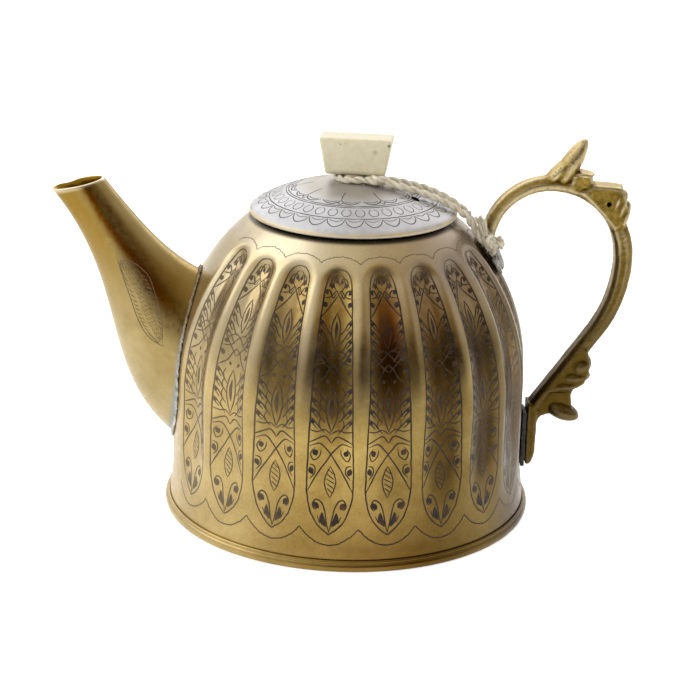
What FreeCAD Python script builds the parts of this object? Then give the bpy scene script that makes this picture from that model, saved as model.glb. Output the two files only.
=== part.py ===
import FreeCAD, Part
import math
import os

# A small brass teapot: a fluted bell body raised from sheet, a curved spout, a cast bow handle with
# leaves, and a loose domed lid whose bone knob is tied to the handle with twine.
# Millimetres. The origin is the centre of the flat base, +Z is up, the spout points to -X and the
# handle to +X, and -Y is the side that faces the viewer.

V = FreeCAD.Vector
ORIGIN = V(0, 0, 0)
UP = V(0, 0, 1)
FRONT_TO_BACK = V(0, 1, 0)
FULL_TURN = 360.0
HALF_TURN = 180.0
EIGHTH_TURN = 45.0

# Body: a straight wall, a small flare at the foot and a round shoulder up to the mouth
WALL_RADIUS = 51.6
FLARE = 1.0
FLARE_BOTTOM = 4.0
FLARE_TOP = 14.0
SHOULDER_BASE = 40.0
SHOULDER_RADIUS = 60.5
MOUTH_RADIUS = 26.5
SHEET = 1.0
BASE_SHEET = 1.2
FOOT_BEAD = 1.4
FOOT_HEIGHT = 3.2

# Flutes pressed into the wall, none of them under the spout
FLUTE_COUNT = 20
FLUTE_DEPTH = 1.2
FLUTE_BOTTOM = 10.0
FLUTE_ROUND = 20.0
FLUTE_EXTRA_RADIUS = 11.5
FLUTE_ARC_TURN = 31.0
FLUTE_RUN_OUT = 16.0
FLUTES_LEFT_OUT_EACH_SIDE = 1

# Mouth ring and lid
MOUTH_RING_WALL = 1.0
MOUTH_RING_DEPTH = 6.0
LID_OVERHANG = 3.2
LID_RISE = 7.9
LID_EDGE = 1.3
LID_EDGE_WIDTH = 1.1
LID_CROWN_RADIUS = 5.0
LID_ABOVE_SHOULDER = 1.42
SEAT_GAP = 0.3
COLLAR_CLEARANCE = 0.5
COLLAR_WALL = 0.8
COLLAR_DEPTH = 6.0
VENT_RADIUS = 1.2
VENT_OUT = 19.1
VENT_ANGLE = -28.0

# Bone knob: a round neck under a block that widens upwards, riveted through the lid
NECK_RADIUS = 3.6
NECK_HEIGHT = 2.8
KNOB_HEIGHT = 10.0
KNOB_BOTTOM_LENGTH = 16.8
KNOB_TOP_LENGTH = 20.6
KNOB_BOTTOM_DEPTH = 7.6
KNOB_TOP_DEPTH = 9.2
KNOB_EDGE = 0.7
KNOB_TURN = -9.0
PIN_RADIUS = 1.2
PIN_CLEARANCE = 0.05
PIN_IN_KNOB = 6.0
PIN_HEAD_RADIUS = 2.4
PIN_HEAD_HEIGHT = 1.2
WASHER_RADIUS = 4.0
WASHER_THICKNESS = 0.8

# Spout: two side outlines, each a curve from inside the wall to the tip, measured from the wall
# (outwards) and from the base (upwards), with oval sections between them
SPOUT_BELLY = ((-3.6, 18.0), (23.0, 36.5), (10.9, 65.0), (33.9, 93.7))
SPOUT_THROAT = ((-11.6, 68.5), (0.4, 73.0), (9.4, 84.5), (19.2, 97.1))
SPOUT_ROOT_HALF_WIDTH = 15.5
SPOUT_TIP_HALF_WIDTH = 5.4
SPOUT_NARROWING = 1.5
SPOUT_WALL = 1.2
SPOUT_STATIONS = 6
SPOUT_OVERRUN = 0.03
SOLDER_WIDTH = 1.3
SOLDER_HEIGHT = 0.8
STRAINER_HOLE_RADIUS = 1.6
STRAINER_PITCH = 6.0
STRAINER_HEIGHT = 44.0
STRAINER_ROWS = 5
STRAINER_COLUMNS = 3

# Handle bow: a section swept along arcs, from the shoulder over the top and down to the wall
BOW_ROOT_THICKNESS = 3.8
BOW_ROOT_WIDTH = 6.0
BOW_BACK_THICKNESS = 5.4
BOW_BACK_WIDTH = 6.8
BOW_FOOT_THICKNESS = 4.2
BOW_FOOT_WIDTH = 6.6
BOW_CHAMFER = 1.2
BOW_TOP_OUT = 4.9
BOW_TOP_ABOVE_MOUTH = 8.1
BOW_INNER_ARC = 17.7
BOW_OUTER_ARC = 22.1
BOW_SWEEP_ARC = 39.7
BOW_SWEEP_TURN = 35.3
BOW_ROOT_LENGTH = 6.0
HANDLE_FOOT_BOTTOM = 11.5
HANDLE_FOOT_THICKNESS = 3.0
HANDLE_FOOT_TIP = 1.0
FOOT_SOLDER_THICKNESS = 1.3
FOOT_SOLDER_MARGIN = 0.5

# Leaves and scroll cast on the bow: side outlines of (outwards, upwards) steps from the bow's top,
# from its rounded corner and from the head of its straight run
THUMB_LEAF_WIDTH = 7.6
THUMB_LEAF = (
    (-1.7, 0.1), (2.0, 4.1), (4.2, 8.5), (6.9, 11.5), (8.8, 11.0), (8.3, 7.2), (8.9, 3.6), (12.1, -0.3),
)
SCROLL_WIDTH = 7.2
SCROLL = ((-7.2, 4.6), (-3.9, 6.4), (3.0, 6.2), (6.0, 2.9), (6.5, -1.3), (7.2, -7.3), (4.6, -9.2))
SCROLL_EYE_RADIUS = 1.0
SCROLL_EYE_OUT = 0.8
SCROLL_EYE_UP = 0.6
LOWER_LEAF_WIDTH = 8.6
LOWER_LEAF = (
    (0.4, -1.0), (-0.3, -6.9), (-1.1, -13.7), (-4.3, -17.0), (-4.9, -21.2), (-4.2, -24.9), (-7.3, -26.2),
    (-10.7, -24.8), (-13.9, -25.0), (-12.7, -16.9),
)

# Lug under the root of the bow: a strap soldered low on the shoulder and lifted off it above
LUG_THICKNESS = 1.9
LUG_WIDTH = 6.4
LUG_BOTTOM_ANGLE = 30.6
LUG_TOP_ANGLE = 44.5
LUG_LOW_GAP = 0.4
LUG_HIGH_GAP = 3.2
LUG_SOLDER_REACH = 5.0
LUG_SOLDER_MARGIN = 0.5

# Twine: two strands from a knot at the knob's neck, over the lid's edge, to the root of the bow
TWINE_RADIUS = 1.1
TWINE_GAP = 0.15
TWINE_SLIT = 0.2
TWINE_BEND_SHARE = 0.45
KNOT_RADIUS = 2.6
KNOT_HALF_HEIGHT = 1.25
NECK_KNOT = V(5.6, -4.9, 98.45)
NECK_LOOP_OPENING = 50.0
HITCH_KNOT = V(40.0, -6.1, 80.3)
HITCH_KNOT_RADIUS = 2.3
FRONT_STRAND = (
    V(6.6, -5.6, 98.5),
    V(13.4, -7.0, 97.2),
    V(20.4, -7.2, 95.1),
    V(27.4, -6.6, 92.1),
    V(32.2, -6.1, 88.4),
    V(35.5, -5.9, 84.0),
    V(39.2, -6.0, 81.0),
)
BACK_STRAND = (
    V(7.2, -4.6, 98.5),
    V(13.8, -2.2, 97.4),
    V(21.0, -0.5, 95.2),
    V(27.8, -0.6, 92.2),
    V(32.6, -1.8, 88.6),
    V(35.3, -3.8, 85.0),
    V(38.6, -5.4, 82.0),
)
BEND_START = 30.8
BEND_END = 33.6
HITCH_ANGLE = 37.2
HITCH_CORNER = 1.3
TAIL = (
    V(39.6, -7.0, 81.6),
    V(38.95, -7.3, 84.4),
    V(38.7, -7.1, 87.2),
)

FOOT_WALL_RADIUS = WALL_RADIUS + FLARE
SHOULDER_CENTRE = WALL_RADIUS - SHOULDER_RADIUS


def shoulder_height(radius, offset=0.0):
    """Height of the shoulder, moved outwards by offset, where it has this radius."""
    reach = SHOULDER_RADIUS + offset
    return SHOULDER_BASE + math.sqrt(reach ** 2 - (radius - SHOULDER_CENTRE) ** 2)


def line(start, end):
    return Part.LineSegment(start, end).toShape()


def arc(start, middle, end):
    return Part.Arc(start, middle, end).toShape()


def turned_solid(edges):
    """Solid made by turning a closed half profile about the pot's axis."""
    face = Part.Face(Part.Wire(edges))
    return face.revolve(ORIGIN, UP, FULL_TURN)


def polygon_edges(points):
    return [line(a, b) for a, b in zip(points, points[1:])]


def body_edges(offset, bottom, top_radius):
    """Half profile of the body's outside, moved outwards by offset, from the foot to the mouth."""
    foot = FOOT_WALL_RADIUS + offset
    wall = WALL_RADIUS + offset
    drop = FLARE_TOP - FLARE_BOTTOM
    flare_arc = (drop ** 2 + FLARE ** 2) / (2 * FLARE)
    half_flare = flare_arc - math.sqrt(flare_arc ** 2 - (drop / 2) ** 2)
    top = shoulder_height(top_radius, offset)
    reach = SHOULDER_RADIUS + offset
    half_turn = math.asin((top - SHOULDER_BASE) / reach) / 2
    middle = V(SHOULDER_CENTRE + reach * math.cos(half_turn), 0, SHOULDER_BASE + reach * math.sin(half_turn))
    foot_low = V(foot, 0, bottom)
    foot_high = V(foot, 0, FLARE_BOTTOM)
    flare_middle = V(wall + half_flare, 0, FLARE_TOP - drop / 2)
    wall_low = V(wall, 0, FLARE_TOP)
    wall_high = V(wall, 0, SHOULDER_BASE)
    mouth = V(top_radius, 0, top)
    edges = [
        line(foot_low, foot_high),
        arc(foot_high, flare_middle, wall_low),
        line(wall_low, wall_high),
        arc(wall_high, middle, mouth),
    ]
    return edges, foot_low, mouth


def body_block(offset, bottom, top_radius):
    """Body filled solid, moved outwards by offset."""
    edges, low, high = body_edges(offset, bottom, top_radius)
    edges.append(line(high, V(0, 0, high.z)))
    edges.append(line(V(0, 0, high.z), V(0, 0, bottom)))
    edges.append(line(V(0, 0, bottom), low))
    return turned_solid(edges)


def swept(path_edges, *sections):
    """Solid of one closed section, or of sections that change into each other, along a smooth path."""
    return Part.Wire(path_edges).makePipeShell(list(sections), True, False)


def round_section(centre, direction, radius):
    return Part.Wire(Part.Circle(centre, direction, radius).toShape())


def flute_tool(grow):
    """Rounded cutter for the flute on +X: up the wall, round the shoulder, then straight off it."""
    lean = math.atan2(FLUTE_DEPTH, SHOULDER_BASE - FLUTE_BOTTOM)
    groove_arc = SHOULDER_RADIUS + FLUTE_EXTRA_RADIUS
    groove_start = WALL_RADIUS - FLUTE_DEPTH
    centre = V(groove_start - groove_arc * math.cos(lean), 0, SHOULDER_BASE - groove_arc * math.sin(lean))
    axis_arc = groove_arc + FLUTE_ROUND
    end_turn = math.radians(FLUTE_ARC_TURN)

    def on_arc(turn):
        return centre + V(math.cos(turn), 0, math.sin(turn)) * axis_arc

    up_wall = V(-math.sin(lean), 0, math.cos(lean))
    off_shoulder = V(-math.sin(end_turn), 0, math.cos(end_turn))
    low = on_arc(lean) - up_wall * SHOULDER_BASE
    path = [
        line(low, on_arc(lean)),
        arc(on_arc(lean), on_arc((lean + end_turn) / 2), on_arc(end_turn)),
        line(on_arc(end_turn), on_arc(end_turn) + off_shoulder * FLUTE_RUN_OUT),
    ]
    return swept(path, round_section(low, up_wall, FLUTE_ROUND + grow))


def flute_angles():
    """Turn of each flute about the axis, with ridges on the spout's and the handle's middle lines."""
    step = FULL_TURN / FLUTE_COUNT
    angles = []
    for index in range(FLUTE_COUNT):
        angle = step * (index + 0.5)
        from_spout = abs(angle - HALF_TURN)
        if from_spout > step * FLUTES_LEFT_OUT_EACH_SIDE:
            angles.append(angle)
    return angles


def fluted(block, grow):
    tool = flute_tool(grow)
    for angle in flute_angles():
        block = block.cut(tool.rotated(ORIGIN, UP, angle))
    return block


def make_body_shell():
    """Fluted wall of even thickness, open at the mouth and drilled behind the spout."""
    outside = fluted(body_block(0, BASE_SHEET, MOUTH_RADIUS), 0)
    inside = fluted(body_block(-SHEET, BASE_SHEET, MOUTH_RADIUS), SHEET)
    mouth = Part.makeCylinder(MOUTH_RADIUS, SHOULDER_RADIUS, V(0, 0, SHOULDER_BASE))
    shell = outside.cut(inside).cut(mouth)
    for row in range(STRAINER_ROWS):
        for column in range(STRAINER_COLUMNS):
            y = (column - (STRAINER_COLUMNS - 1) / 2) * STRAINER_PITCH
            z = STRAINER_HEIGHT + (row - (STRAINER_ROWS - 1) / 2) * STRAINER_PITCH
            start = V(-2 * WALL_RADIUS, y, z)
            hole = Part.makeCylinder(STRAINER_HOLE_RADIUS, 2 * WALL_RADIUS, start, V(1, 0, 0))
            shell = shell.cut(hole)
    return outside, shell


def make_base_plate():
    return Part.makeCylinder(FOOT_WALL_RADIUS, BASE_SHEET)


def make_foot_ring():
    """Half-round bead against the plate's edge and the foot of the wall."""
    inner_low = V(FOOT_WALL_RADIUS, 0, 0)
    outer_low = V(FOOT_WALL_RADIUS + FOOT_BEAD / 2, 0, 0)
    outer_middle = V(FOOT_WALL_RADIUS + FOOT_BEAD, 0, FOOT_HEIGHT / 2)
    inner_high = V(FOOT_WALL_RADIUS, 0, FOOT_HEIGHT)
    edges = [
        line(inner_low, outer_low),
        arc(outer_low, outer_middle, inner_high),
        line(inner_high, inner_low),
    ]
    return turned_solid(edges)


def tube(outer, inner, bottom, top):
    wide = Part.makeCylinder(outer, top - bottom, V(0, 0, bottom))
    return wide.cut(Part.makeCylinder(inner, top - bottom, V(0, 0, bottom)))


LID_RADIUS = MOUTH_RADIUS + LID_OVERHANG
LID_BOTTOM = shoulder_height(LID_RADIUS) + LID_ABOVE_SHOULDER
LID_TOP = LID_BOTTOM + LID_EDGE + LID_RISE
LID_CENTRE_DROP = (LID_RADIUS ** 2 - LID_CROWN_RADIUS ** 2 - LID_RISE ** 2) / (2 * LID_RISE)
LID_ARC = math.hypot(LID_CENTRE_DROP, LID_RADIUS)
LID_CENTRE = LID_BOTTOM + LID_EDGE - LID_CENTRE_DROP


def lid_height(radius, inset=0.0):
    """Height of the lid's dome at this radius, inset below its top face."""
    return LID_CENTRE + math.sqrt((LID_ARC - inset) ** 2 - radius ** 2)


MOUTH_RING_TOP = lid_height(MOUTH_RADIUS, SHEET) - SEAT_GAP
MOUTH_RING_INNER = MOUTH_RADIUS - MOUTH_RING_WALL
COLLAR_OUTER = MOUTH_RING_INNER - COLLAR_CLEARANCE
LID_UNDER_CROWN = LID_TOP - SHEET


def make_mouth_ring():
    return tube(MOUTH_RADIUS, MOUTH_RING_INNER, MOUTH_RING_TOP - MOUTH_RING_DEPTH, MOUTH_RING_TOP)


def make_lid():
    """Domed sheet with a thick edge, a flat crown under the knob, a rivet hole and a vent."""
    rivet_hole = PIN_RADIUS + PIN_CLEARANCE
    inner_edge = LID_RADIUS - LID_EDGE_WIDTH
    half_out = (LID_CROWN_RADIUS + LID_RADIUS) / 2
    half_under = (LID_CROWN_RADIUS + inner_edge) / 2
    crown = V(LID_CROWN_RADIUS, 0, LID_TOP)
    edge_top = V(LID_RADIUS, 0, LID_BOTTOM + LID_EDGE)
    edge_low = V(LID_RADIUS, 0, LID_BOTTOM)
    edge_inner = V(inner_edge, 0, LID_BOTTOM)
    under_edge = V(inner_edge, 0, lid_height(inner_edge, SHEET))
    under_crown = V(LID_CROWN_RADIUS, 0, LID_UNDER_CROWN)
    edges = [
        line(V(rivet_hole, 0, LID_TOP), crown),
        arc(crown, V(half_out, 0, lid_height(half_out)), edge_top),
        line(edge_top, edge_low),
        line(edge_low, edge_inner),
        line(edge_inner, under_edge),
        arc(under_edge, V(half_under, 0, lid_height(half_under, SHEET)), under_crown),
        line(under_crown, V(rivet_hole, 0, LID_UNDER_CROWN)),
        line(V(rivet_hole, 0, LID_UNDER_CROWN), V(rivet_hole, 0, LID_TOP)),
    ]
    vent_angle = math.radians(VENT_ANGLE)
    vent_place = V(VENT_OUT * math.cos(vent_angle), VENT_OUT * math.sin(vent_angle), LID_BOTTOM)
    return turned_solid(edges).cut(Part.makeCylinder(VENT_RADIUS, LID_TOP, vent_place))


def make_lid_collar(lid):
    """Ring under the lid, its top end fitted to the dome."""
    top = lid_height(COLLAR_OUTER - COLLAR_WALL, SHEET) + SHEET / 2
    bottom = MOUTH_RING_TOP - COLLAR_DEPTH
    return tube(COLLAR_OUTER, COLLAR_OUTER - COLLAR_WALL, bottom, top).cut(lid)


def rectangle(length, depth, height, edge):
    """Rectangle with cut corners, level at this height."""
    x = length / 2
    y = depth / 2
    corners = [
        V(x, y - edge, height),
        V(x - edge, y, height),
        V(edge - x, y, height),
        V(-x, y - edge, height),
        V(-x, edge - y, height),
        V(edge - x, -y, height),
        V(x - edge, -y, height),
        V(x, edge - y, height),
    ]
    return Part.Wire(polygon_edges(corners + corners[:1]))


NECK_TOP = LID_TOP + NECK_HEIGHT
KNOB_TOP = NECK_TOP + KNOB_HEIGHT


def make_knob():
    """Bone block that widens upwards, on a round neck, with a blind hole for the rivet."""
    rim_share = KNOB_EDGE / KNOB_HEIGHT
    rim_length = KNOB_TOP_LENGTH - (KNOB_TOP_LENGTH - KNOB_BOTTOM_LENGTH) * rim_share
    rim_depth = KNOB_TOP_DEPTH - (KNOB_TOP_DEPTH - KNOB_BOTTOM_DEPTH) * rim_share
    sections = [
        rectangle(KNOB_BOTTOM_LENGTH, KNOB_BOTTOM_DEPTH, NECK_TOP, KNOB_EDGE),
        rectangle(rim_length, rim_depth, KNOB_TOP - KNOB_EDGE, KNOB_EDGE),
        rectangle(KNOB_TOP_LENGTH - 2 * KNOB_EDGE, KNOB_TOP_DEPTH - 2 * KNOB_EDGE, KNOB_TOP, KNOB_EDGE),
    ]
    block = Part.makeLoft(sections, True, True)
    neck = Part.makeCylinder(NECK_RADIUS, NECK_HEIGHT, V(0, 0, LID_TOP))
    hole = Part.makeCylinder(PIN_RADIUS + PIN_CLEARANCE, PIN_IN_KNOB + PIN_CLEARANCE, V(0, 0, LID_TOP))
    knob = block.fuse(neck).removeSplitter().cut(hole)
    return knob.rotated(ORIGIN, UP, KNOB_TURN)


def make_knob_washer():
    bottom = LID_UNDER_CROWN - WASHER_THICKNESS
    return tube(WASHER_RADIUS, PIN_RADIUS + PIN_CLEARANCE, bottom, LID_UNDER_CROWN)


def make_knob_pin():
    """Rivet with its hammered head under the washer."""
    seat = LID_UNDER_CROWN - WASHER_THICKNESS
    shank = Part.makeCylinder(PIN_RADIUS, LID_TOP + PIN_IN_KNOB - seat, V(0, 0, seat))
    head = Part.makeCone(PIN_RADIUS, PIN_HEAD_RADIUS, PIN_HEAD_HEIGHT, V(0, 0, seat - PIN_HEAD_HEIGHT))
    return shank.fuse(head).removeSplitter()


def curve_point(handles, share):
    """Point of a four-point curve, from its distances outside the wall and its heights."""
    rest = 1 - share
    weights = (rest ** 3, 3 * rest ** 2 * share, 3 * rest * share ** 2, share ** 3)
    out = sum(w * h[0] for w, h in zip(weights, handles))
    height = sum(w * h[1] for w, h in zip(weights, handles))
    return V(-(WALL_RADIUS + out), 0, height)


def spout_section(share, grow):
    """Oval between the belly and the throat of the spout, in a plane square to the middle plane."""
    belly = curve_point(SPOUT_BELLY, share)
    throat = curve_point(SPOUT_THROAT, share)
    across = (throat - belly).normalize()
    half_length = (throat - belly).Length / 2 + grow
    widening = max(0.0, 1 - share) ** SPOUT_NARROWING
    half_width = SPOUT_TIP_HALF_WIDTH + (SPOUT_ROOT_HALF_WIDTH - SPOUT_TIP_HALF_WIDTH) * widening + grow
    centre = (belly + throat) / 2
    oval = Part.Ellipse(centre + across * half_length, centre + FRONT_TO_BACK * half_width, centre)
    return Part.Wire(oval.toShape())


def spout_block(grow, overrun):
    """Filled spout, its sections grown by this much and its tip run on by a share of its length."""
    shares = [(1 + overrun) * index / (SPOUT_STATIONS - 1) for index in range(SPOUT_STATIONS)]
    return Part.makeLoft([spout_section(share, grow) for share in shares], True, False)


def make_spout(body):
    outside = spout_block(0, 0)
    return outside.cut(spout_block(-SPOUT_WALL, SPOUT_OVERRUN)).cut(body)


def make_spout_solder(body):
    """Low bead of solder round the root, between the spout and the wall."""
    band = body_block(SOLDER_HEIGHT, BASE_SHEET, MOUTH_RADIUS).common(spout_block(SOLDER_WIDTH, 0))
    return band.cut(spout_block(0, 0)).cut(body)


MOUTH_HEIGHT = shoulder_height(MOUTH_RADIUS)
BOW_TOP = V(WALL_RADIUS + BOW_TOP_OUT, 0, MOUTH_HEIGHT + BOW_TOP_ABOVE_MOUTH)
INNER_CENTRE = BOW_TOP - UP * BOW_INNER_ARC
OUTER_CENTRE = BOW_TOP - UP * BOW_OUTER_ARC
SWEEP_CENTRE = OUTER_CENTRE + V(BOW_OUTER_ARC - BOW_SWEEP_ARC, 0, 0)
FOOT_INNER = WALL_RADIUS + FOOT_SOLDER_THICKNESS


def at_angle(centre, radius, degrees):
    turn = math.radians(degrees)
    return centre + V(math.cos(turn), 0, math.sin(turn)) * radius


SWEEP_END = at_angle(SWEEP_CENTRE, BOW_SWEEP_ARC, -BOW_SWEEP_TURN)
SWEEP_DIRECTION = V(-math.sin(math.radians(BOW_SWEEP_TURN)), 0, -math.cos(math.radians(BOW_SWEEP_TURN)))
FOOT_MIDDLE = FOOT_INNER + HANDLE_FOOT_THICKNESS / 2
STRUT_LENGTH = (FOOT_MIDDLE - SWEEP_END.x) / SWEEP_DIRECTION.x
STRUT_END = SWEEP_END + SWEEP_DIRECTION * STRUT_LENGTH


def bow_section(place, lean, thickness, width):
    """Chamfered section of the bow, square to its path, which leans this far from upright."""
    section = rectangle(thickness, width, 0, BOW_CHAMFER)
    section.rotate(ORIGIN, FRONT_TO_BACK, lean)
    section.translate(place)
    return section


def make_bow():
    """Chamfered bar along the handle's arcs, from the shoulder to the head of the foot."""
    root = at_angle(INNER_CENTRE, BOW_INNER_ARC, HALF_TURN)
    low = root - UP * BOW_ROOT_LENGTH
    back = at_angle(OUTER_CENTRE, BOW_OUTER_ARC, 0)
    path = [
        line(low, root),
        arc(root, at_angle(INNER_CENTRE, BOW_INNER_ARC, HALF_TURN - EIGHTH_TURN), BOW_TOP),
        arc(BOW_TOP, at_angle(OUTER_CENTRE, BOW_OUTER_ARC, EIGHTH_TURN), back),
        arc(back, at_angle(SWEEP_CENTRE, BOW_SWEEP_ARC, -BOW_SWEEP_TURN / 2), SWEEP_END),
        line(SWEEP_END, STRUT_END),
    ]
    sections = [
        bow_section(low, 0, BOW_ROOT_THICKNESS, BOW_ROOT_WIDTH),
        bow_section(back, HALF_TURN, BOW_BACK_THICKNESS, BOW_BACK_WIDTH),
        bow_section(STRUT_END, HALF_TURN + BOW_SWEEP_TURN, BOW_FOOT_THICKNESS, BOW_FOOT_WIDTH),
    ]
    return swept(path, *sections)


def slab(anchor, offsets, width):
    """Plate of this width whose rounded outline runs through points offset from the anchor."""
    points = [anchor + V(x, -width / 2, z) for x, z in offsets]
    curve = Part.BSplineCurve()
    curve.interpolate(points)
    face = Part.Face(Part.Wire([curve.toShape(), line(points[-1], points[0])]))
    return face.extrude(FRONT_TO_BACK * width)


def make_handle(under_bow):
    """Bow, foot and leaves as one casting, cut back to the lug it stands on."""
    foot_head = STRUT_END.z + HANDLE_FOOT_THICKNESS
    foot_outer = FOOT_INNER + HANDLE_FOOT_THICKNESS
    foot_outline = [
        V(FOOT_INNER, -BOW_FOOT_WIDTH / 2, HANDLE_FOOT_BOTTOM),
        V(FOOT_INNER, -BOW_FOOT_WIDTH / 2, foot_head),
        V(foot_outer, -BOW_FOOT_WIDTH / 2, STRUT_END.z),
        V(foot_outer, -BOW_FOOT_WIDTH / 2, HANDLE_FOOT_BOTTOM + HANDLE_FOOT_THICKNESS),
        V(FOOT_INNER + HANDLE_FOOT_TIP, -BOW_FOOT_WIDTH / 2, HANDLE_FOOT_BOTTOM),
    ]
    foot_face = Part.Face(Part.Wire(polygon_edges(foot_outline + foot_outline[:1])))
    foot = foot_face.extrude(FRONT_TO_BACK * BOW_FOOT_WIDTH)
    thumb_leaf = slab(BOW_TOP, THUMB_LEAF, THUMB_LEAF_WIDTH)
    scroll_place = at_angle(OUTER_CENTRE, BOW_OUTER_ARC, EIGHTH_TURN)
    scroll = slab(scroll_place, SCROLL, SCROLL_WIDTH)
    eye_place = scroll_place + V(SCROLL_EYE_OUT, -SCROLL_WIDTH / 2, SCROLL_EYE_UP)
    eye = Part.makeCylinder(SCROLL_EYE_RADIUS, SCROLL_WIDTH, eye_place, FRONT_TO_BACK)
    lower_leaf = slab(SWEEP_END, LOWER_LEAF, LOWER_LEAF_WIDTH)
    casting = make_bow().fuse([foot, thumb_leaf, scroll, lower_leaf]).removeSplitter()
    return casting.cut(eye).cut(under_bow)


def over_shoulder(angle, offset):
    """Point of the middle plane on the handle's side, this far off the shoulder at this angle of its arc."""
    centre = V(SHOULDER_CENTRE, 0, SHOULDER_BASE)
    return at_angle(centre, SHOULDER_RADIUS + offset, angle)


def lug_gap(angle):
    """Space under the lug, which opens from its soldered end to its upper end."""
    share = (angle - LUG_BOTTOM_ANGLE) / (LUG_TOP_ANGLE - LUG_BOTTOM_ANGLE)
    return LUG_LOW_GAP + (LUG_HIGH_GAP - LUG_LOW_GAP) * share


def shoulder_strip(low_angle, high_angle, low_offset, high_offset, width):
    """Strip over the shoulder between two offsets, each a function of the angle."""
    middle = (low_angle + high_angle) / 2
    under = [over_shoulder(angle, low_offset(angle)) for angle in (low_angle, middle, high_angle)]
    over = [over_shoulder(angle, high_offset(angle)) for angle in (high_angle, middle, low_angle)]
    outline = [arc(*under), line(under[-1], over[0]), arc(*over), line(over[-1], under[0])]
    strip = Part.Face(Part.Wire(outline)).extrude(FRONT_TO_BACK * width)
    return strip.translated(V(0, -width / 2, 0))


def make_lug(under, over):
    return shoulder_strip(LUG_BOTTOM_ANGLE, LUG_TOP_ANGLE, under, over, LUG_WIDTH)


def make_lug_solder(body):
    """Solder under the lower end of the lug, filled in to the wall's flutes."""
    high_angle = LUG_BOTTOM_ANGLE + LUG_SOLDER_REACH
    width = LUG_WIDTH + 2 * LUG_SOLDER_MARGIN
    return shoulder_strip(LUG_BOTTOM_ANGLE, high_angle, lambda angle: -FLUTE_DEPTH, lug_gap, width).cut(body)


def make_foot_solder(body):
    """Pad of solder between the foot of the handle and the wall."""
    width = BOW_FOOT_WIDTH + 2 * FOOT_SOLDER_MARGIN
    bottom = HANDLE_FOOT_BOTTOM - FOOT_SOLDER_MARGIN
    height = STRUT_END.z - bottom
    start = WALL_RADIUS - FLUTE_DEPTH
    return Part.makeBox(FOOT_INNER - start, width, height, V(start, -width / 2, bottom)).cut(body)


def cord(points, radius):
    """Round tube along straight runs joined by the largest tangent arcs that the runs allow."""
    edges = []
    radii = []
    length = 0.0
    last = points[0]
    for before, corner, after in zip(points, points[1:], points[2:]):
        run_in = corner - before
        run_out = after - corner
        turn = run_in.getAngle(run_out)
        reach = TWINE_BEND_SHARE * min(run_in.Length, run_out.Length)
        bend = reach / math.tan(turn / 2)
        start = corner - run_in / run_in.Length * reach
        end = corner + run_out / run_out.Length * reach
        inward = (start + end) / 2 - corner
        middle = corner + inward / inward.Length * (bend / math.cos(turn / 2) - bend)
        edges.append(line(last, start))
        edges.append(arc(start, middle, end))
        length += (start - last).Length + bend * turn
        radii.append(round(bend, 1))
        last = end
    edges.append(line(last, points[-1]))
    length += (points[-1] - last).Length
    solid = swept(edges, round_section(points[0], points[1] - points[0], radius))
    filled = solid.Volume / (math.pi * radius ** 2 * length)
    print("cord", round(length, 1), "mm long, bend radii", radii, "volume share", round(filled, 4))
    return solid


def ball(centre, radius, half_height):
    """Knot: a ball flattened above and below."""
    box = Part.makeBox(2 * radius, 2 * radius, 2 * half_height, centre - V(radius, radius, half_height))
    return Part.makeSphere(radius, centre).common(box)


def ring_arc(centre, radius, start_angle, end_angle, tube_radius):
    """Open loop of tube round a level circle."""
    def at(degrees):
        turn = math.radians(degrees)
        return centre + V(math.cos(turn), math.sin(turn), 0) * radius

    half = (start_angle + end_angle) / 2
    path = [
        arc(at(start_angle), at((start_angle + half) / 2), at(half)),
        arc(at(half), at((half + end_angle) / 2), at(end_angle)),
    ]
    start_turn = math.radians(start_angle)
    heading = V(-math.sin(start_turn), math.cos(start_turn), 0)
    return swept(path, round_section(at(start_angle), heading, tube_radius))


def make_tether_loop(knot):
    loop_radius = NECK_RADIUS + TWINE_GAP + TWINE_RADIUS
    centre = V(0, 0, LID_TOP + TWINE_GAP + TWINE_RADIUS)
    knot_angle = math.degrees(math.atan2(NECK_KNOT.y, NECK_KNOT.x))
    half_opening = NECK_LOOP_OPENING / 2
    loop = ring_arc(
        centre, loop_radius, knot_angle + half_opening, knot_angle + FULL_TURN - half_opening, TWINE_RADIUS,
    )
    return loop.cut(knot)


def make_tether_hitch(knot):
    """One turn of twine round the lug, through the space under it, beside the root of the bow."""
    low = TWINE_RADIUS
    high = lug_gap(HITCH_ANGLE) + LUG_THICKNESS + TWINE_GAP + TWINE_RADIUS
    y = LUG_WIDTH / 2 + TWINE_GAP + TWINE_RADIUS
    corner = HITCH_CORNER
    cut = corner * (1 - math.sqrt(0.5))
    foot = over_shoulder(HITCH_ANGLE, 0)
    outward = over_shoulder(HITCH_ANGLE, 1) - foot

    def place(offset, across):
        return foot + outward * offset + FRONT_TO_BACK * across

    middle = (low + high) / 2
    path = [
        line(place(middle, -y), place(high - corner, -y)),
        arc(place(high - corner, -y), place(high - cut, cut - y), place(high, corner - y)),
        line(place(high, corner - y), place(high, y - corner)),
        arc(place(high, y - corner), place(high - cut, y - cut), place(high - corner, y)),
        line(place(high - corner, y), place(low + corner, y)),
        arc(place(low + corner, y), place(low + cut, y - cut), place(low, y - corner)),
        line(place(low, y - corner), place(low, corner - y)),
        arc(place(low, corner - y), place(low + cut, cut - y), place(low + corner, -y)),
    ]
    return swept(path, round_section(place(middle, -y), outward, TWINE_RADIUS)).cut(knot)


def between(solid, low_x, high_x):
    """Part of a solid between two planes square to X."""
    reach = 4 * WALL_RADIUS
    box = Part.makeBox(high_x - low_x, reach, reach, V(low_x, -reach / 2, 0))
    return solid.common(box)


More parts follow.
